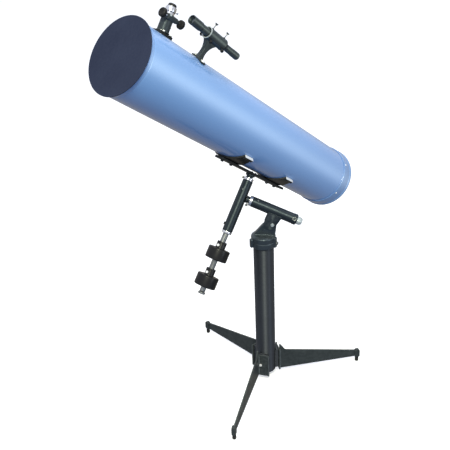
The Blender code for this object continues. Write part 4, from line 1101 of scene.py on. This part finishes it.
# ---- finder
def build_finder():
    sleeve, inner, half = 0.0198, 0.0168, 0.043
    to_tube = (shift(FINDER_OFFSET, 0, FINDER_Z) @ Matrix.Rotation(FINDER_TILT, 4, "Y")).inverted()
    bm = bmesh.new()
    profile = sleeve_profile(inner, sleeve - 0.0004, -half, half)
    lathe_mesh(bm, rounded(profile, 0.0008, True))
    low = TUBE_R - FINDER_OFFSET + 0.0035
    stalk = arc_through((-0.0176, 0.039), (-0.05, 0.0165), (low, 0.017))
    stalk += arc_through((low, -0.011), (-0.05, -0.003), (-0.0176, -0.023))
    plate_mesh(bm, stalk, -0.0076, 0.0076, 0.0024, UPRIGHT)
    strap = sleeve_profile(TUBE_R + 0.0008, TUBE_R + 0.006, -0.0112, 0.0112)
    lathe_mesh(bm, rounded(strap, 0.0014, True), 40, to_tube @ shift(z=FOOT_Z), span=(-15.0, 11.8))
    cast("finder_mount", bm, FINDER, "barrel", OTA, "finder_bracket")
    for i, (angle, shade) in enumerate(((-11.8, "bright"), (8.5, "steel"))):
        at = FINDER @ to_tube @ across(angle, FOOT_Z + 0.001) @ shift(z=TUBE_R + 0.0058)
        bolt(f"finder_foot_screw_{i + 1}", at, OTA, 0.0048, 0.0036, shade, 0.006, socket=False)
    for end, low, high, shade in (("front", half - 0.0012, half + 0.0016, "zinc"),
                                  ("rear", -half - 0.0004, -half + 0.003, "fitting")):
        lathe(f"finder_{end}_rim", FINDER, sleeve_profile(inner - 0.0002, sleeve + 0.0002, low, high), shade,
              OTA, radius=0.0006, steps=96)
    profile = sleeve_profile(0.0116, 0.0128, -0.053, 0.0775)
    lathe("finder_barrel", FINDER, profile, "barrel", OTA, "finder_tube", radius=0.0004)
    profile = [
        (0.0128, 0.124), (0.0145, 0.124), (0.0145, 0.1205), (0.014, 0.12), (0.014, 0.119), (0.0145, 0.1185),
        (0.0145, 0.0795), (0.0136, 0.0778), (0.0112, 0.0778), (0.0112, 0.09), (0.0128, 0.092),
    ]
    lathe("finder_dew_cell", FINDER, profile, "barrel", OTA, "finder_objective", radius=0.0005, steps=96)
    lens = [(0, 0.1168), (0.005, 0.1165), (0.0095, 0.1155), (0.0129, 0.1138), (0.0129, 0.11), (0, 0.11)]
    lathe("finder_front_lens", FINDER, lens, "lens", OTA, radius=0.0001, steps=72)
    profile = [
        (0, -0.0533), (0.011, -0.0533), (0.0116, -0.0545), (0.0116, -0.092), (0.0124, -0.096),
        (0.0124, -0.1052), (0.0118, -0.1062), (0.0118, -0.1078), (0.0124, -0.1088), (0.0124, -0.1255),
        (0.011, -0.1275), (0.008, -0.1275), (0.007, -0.124), (0, -0.124),
    ]
    lathe("finder_eye_end", FINDER, profile, "barrel", "finder_eyepiece", "finder_eyepiece", radius=0.0005,
          steps=96)
    lens = [(0, -0.1246), (0.004, -0.1244), (0.0066, -0.1239), (0, -0.1236)]
    lathe("finder_eye_lens", FINDER, lens, "lens", "finder_eyepiece", radius=0.0001, steps=40)
    for end, height in (("front", 0.032), ("rear", -0.03)):
        for i, angle in enumerate((0, 120, 240)):
            name = f"finder_screw_{end}_{i + 1}"
            if i == 0:
                wing_screw(name + "_head", FINDER @ across(angle, height), name)
            else:
                thumb_screw(name + "_head", FINDER @ across(angle, height), name, "knob", 0.0132, 0.0285,
                            0.0056, 0.0064, 0.0013, 12)
            boss = [(0.0016, 0.0212), (0.0036, 0.021), (0.004, 0.019), (0.0016, 0.019)]
            lathe(f"finder_boss_{end}_{i + 1}", FINDER @ across(angle, height), boss, "fitting",
                  OTA, radius=0.0003, steps=30)


# ---- floor, light and camera
def build_stage():
    floor_mesh = bpy.data.meshes.new("floor")
    reach = 40.0
    floor_mesh.from_pydata([(-reach, -reach, 0), (reach, -reach, 0), (reach, reach, 0), (-reach, reach, 0)],
                           [], [(0, 1, 2, 3)])
    floor = new_object("floor", floor_mesh)
    s = Surface("studio_floor", "none")
    colour = s.blend(s.span(s.noise(0.6, 2), 0.0, 1.0), (0.9, 0.9, 0.9), (0.93, 0.93, 0.93))
    floor_mesh.materials.append(s.done(colour, s.span(s.noise(3, 2), 0.85, 0.95)))
    s.shader.inputs["Emission Color"].default_value = (1, 1, 1, 1)
    s.shader.inputs["Emission Strength"].default_value = 0.3
    floor.visible_diffuse = False
    floor.visible_glossy = False


def area_light(name, place, target, size, power, colour=(1, 1, 1)):
    data = bpy.data.lights.new(name, "AREA")
    data.shape = "RECTANGLE"
    data.size, data.size_y = size
    data.energy = power
    data.color = colour
    light = new_object(name, data)
    light.location = place
    light.rotation_mode = "QUATERNION"
    light.rotation_quaternion = (Vector(target) - Vector(place)).to_track_quat("-Z", "Y")


SKY = [(0.0, (0.56, 0.57, 0.62)), (1.0, (0.8, 0.85, 0.96))]
GROUND = [(0.0, (0.2, 0.26, 0.38)), (0.45, (0.24, 0.27, 0.34)), (0.75, (0.36, 0.33, 0.28))]


def build_lights():
    world = bpy.data.worlds.new("studio")
    bpy.context.scene.world = world
    world.use_nodes = True
    sky = Nodes(world.node_tree, "Generated")
    split = sky.add("ShaderNodeSeparateXYZ", Vector=sky.where).outputs
    above = sky.ramp(split["Z"], 0.0, 1.0, SKY)
    below = sky.ramp(split["Y"], -1.0, 1.0, GROUND)
    rise = sky.span(split["Z"], 0.0, 1.0, -0.22, 0.04)
    back = sky.tree.nodes["Background"].inputs
    sky.feed(back["Color"], sky.blend(rise, below, above))
    sky.feed(back["Strength"], 1.08)
    aim = (0.0, 0.0, 1.0)
    area_light("key", (0.5, -3.0, 3.75), aim, (1.3, 1.0), 186, (1.0, 1.0, 0.77))
    area_light("top", (0.2, 0.9, 4.2), aim, (2.6, 2.6), 40)
    area_light("side", (3.2, -1.6, 1.1), (0.0, 0.0, 0.5), (1.2, 1.8), 24, (0.86, 0.94, 1.0))


def build_camera():
    data = bpy.data.cameras.new("camera")
    camera = new_object("camera", data)
    right = Vector((0.98235, 0.1817, -0.04441))
    up = Vector((-0.04408, 0.45561, 0.88909))
    back = Vector((0.18178, -0.87144, 0.45558))
    pose = Matrix((right, up, back)).transposed().to_4x4()
    pose.translation = STAND @ Vector((0.33837, -2.34524, 1.94371))
    camera.matrix_world = pose
    data.sensor_width = 36.0
    data.lens = 54.854
    data.clip_start, data.clip_end = 0.1, 200.0
    bpy.context.scene.camera = camera


build_stand()
build_head()
build_polar()
build_declination()
build_saddle()
build_tube()
build_optics()
build_focuser()
build_finder()
build_stage()
build_lights()
build_camera()
view = bpy.context.scene.view_settings
view.view_transform = "Standard"
view.look = "None"
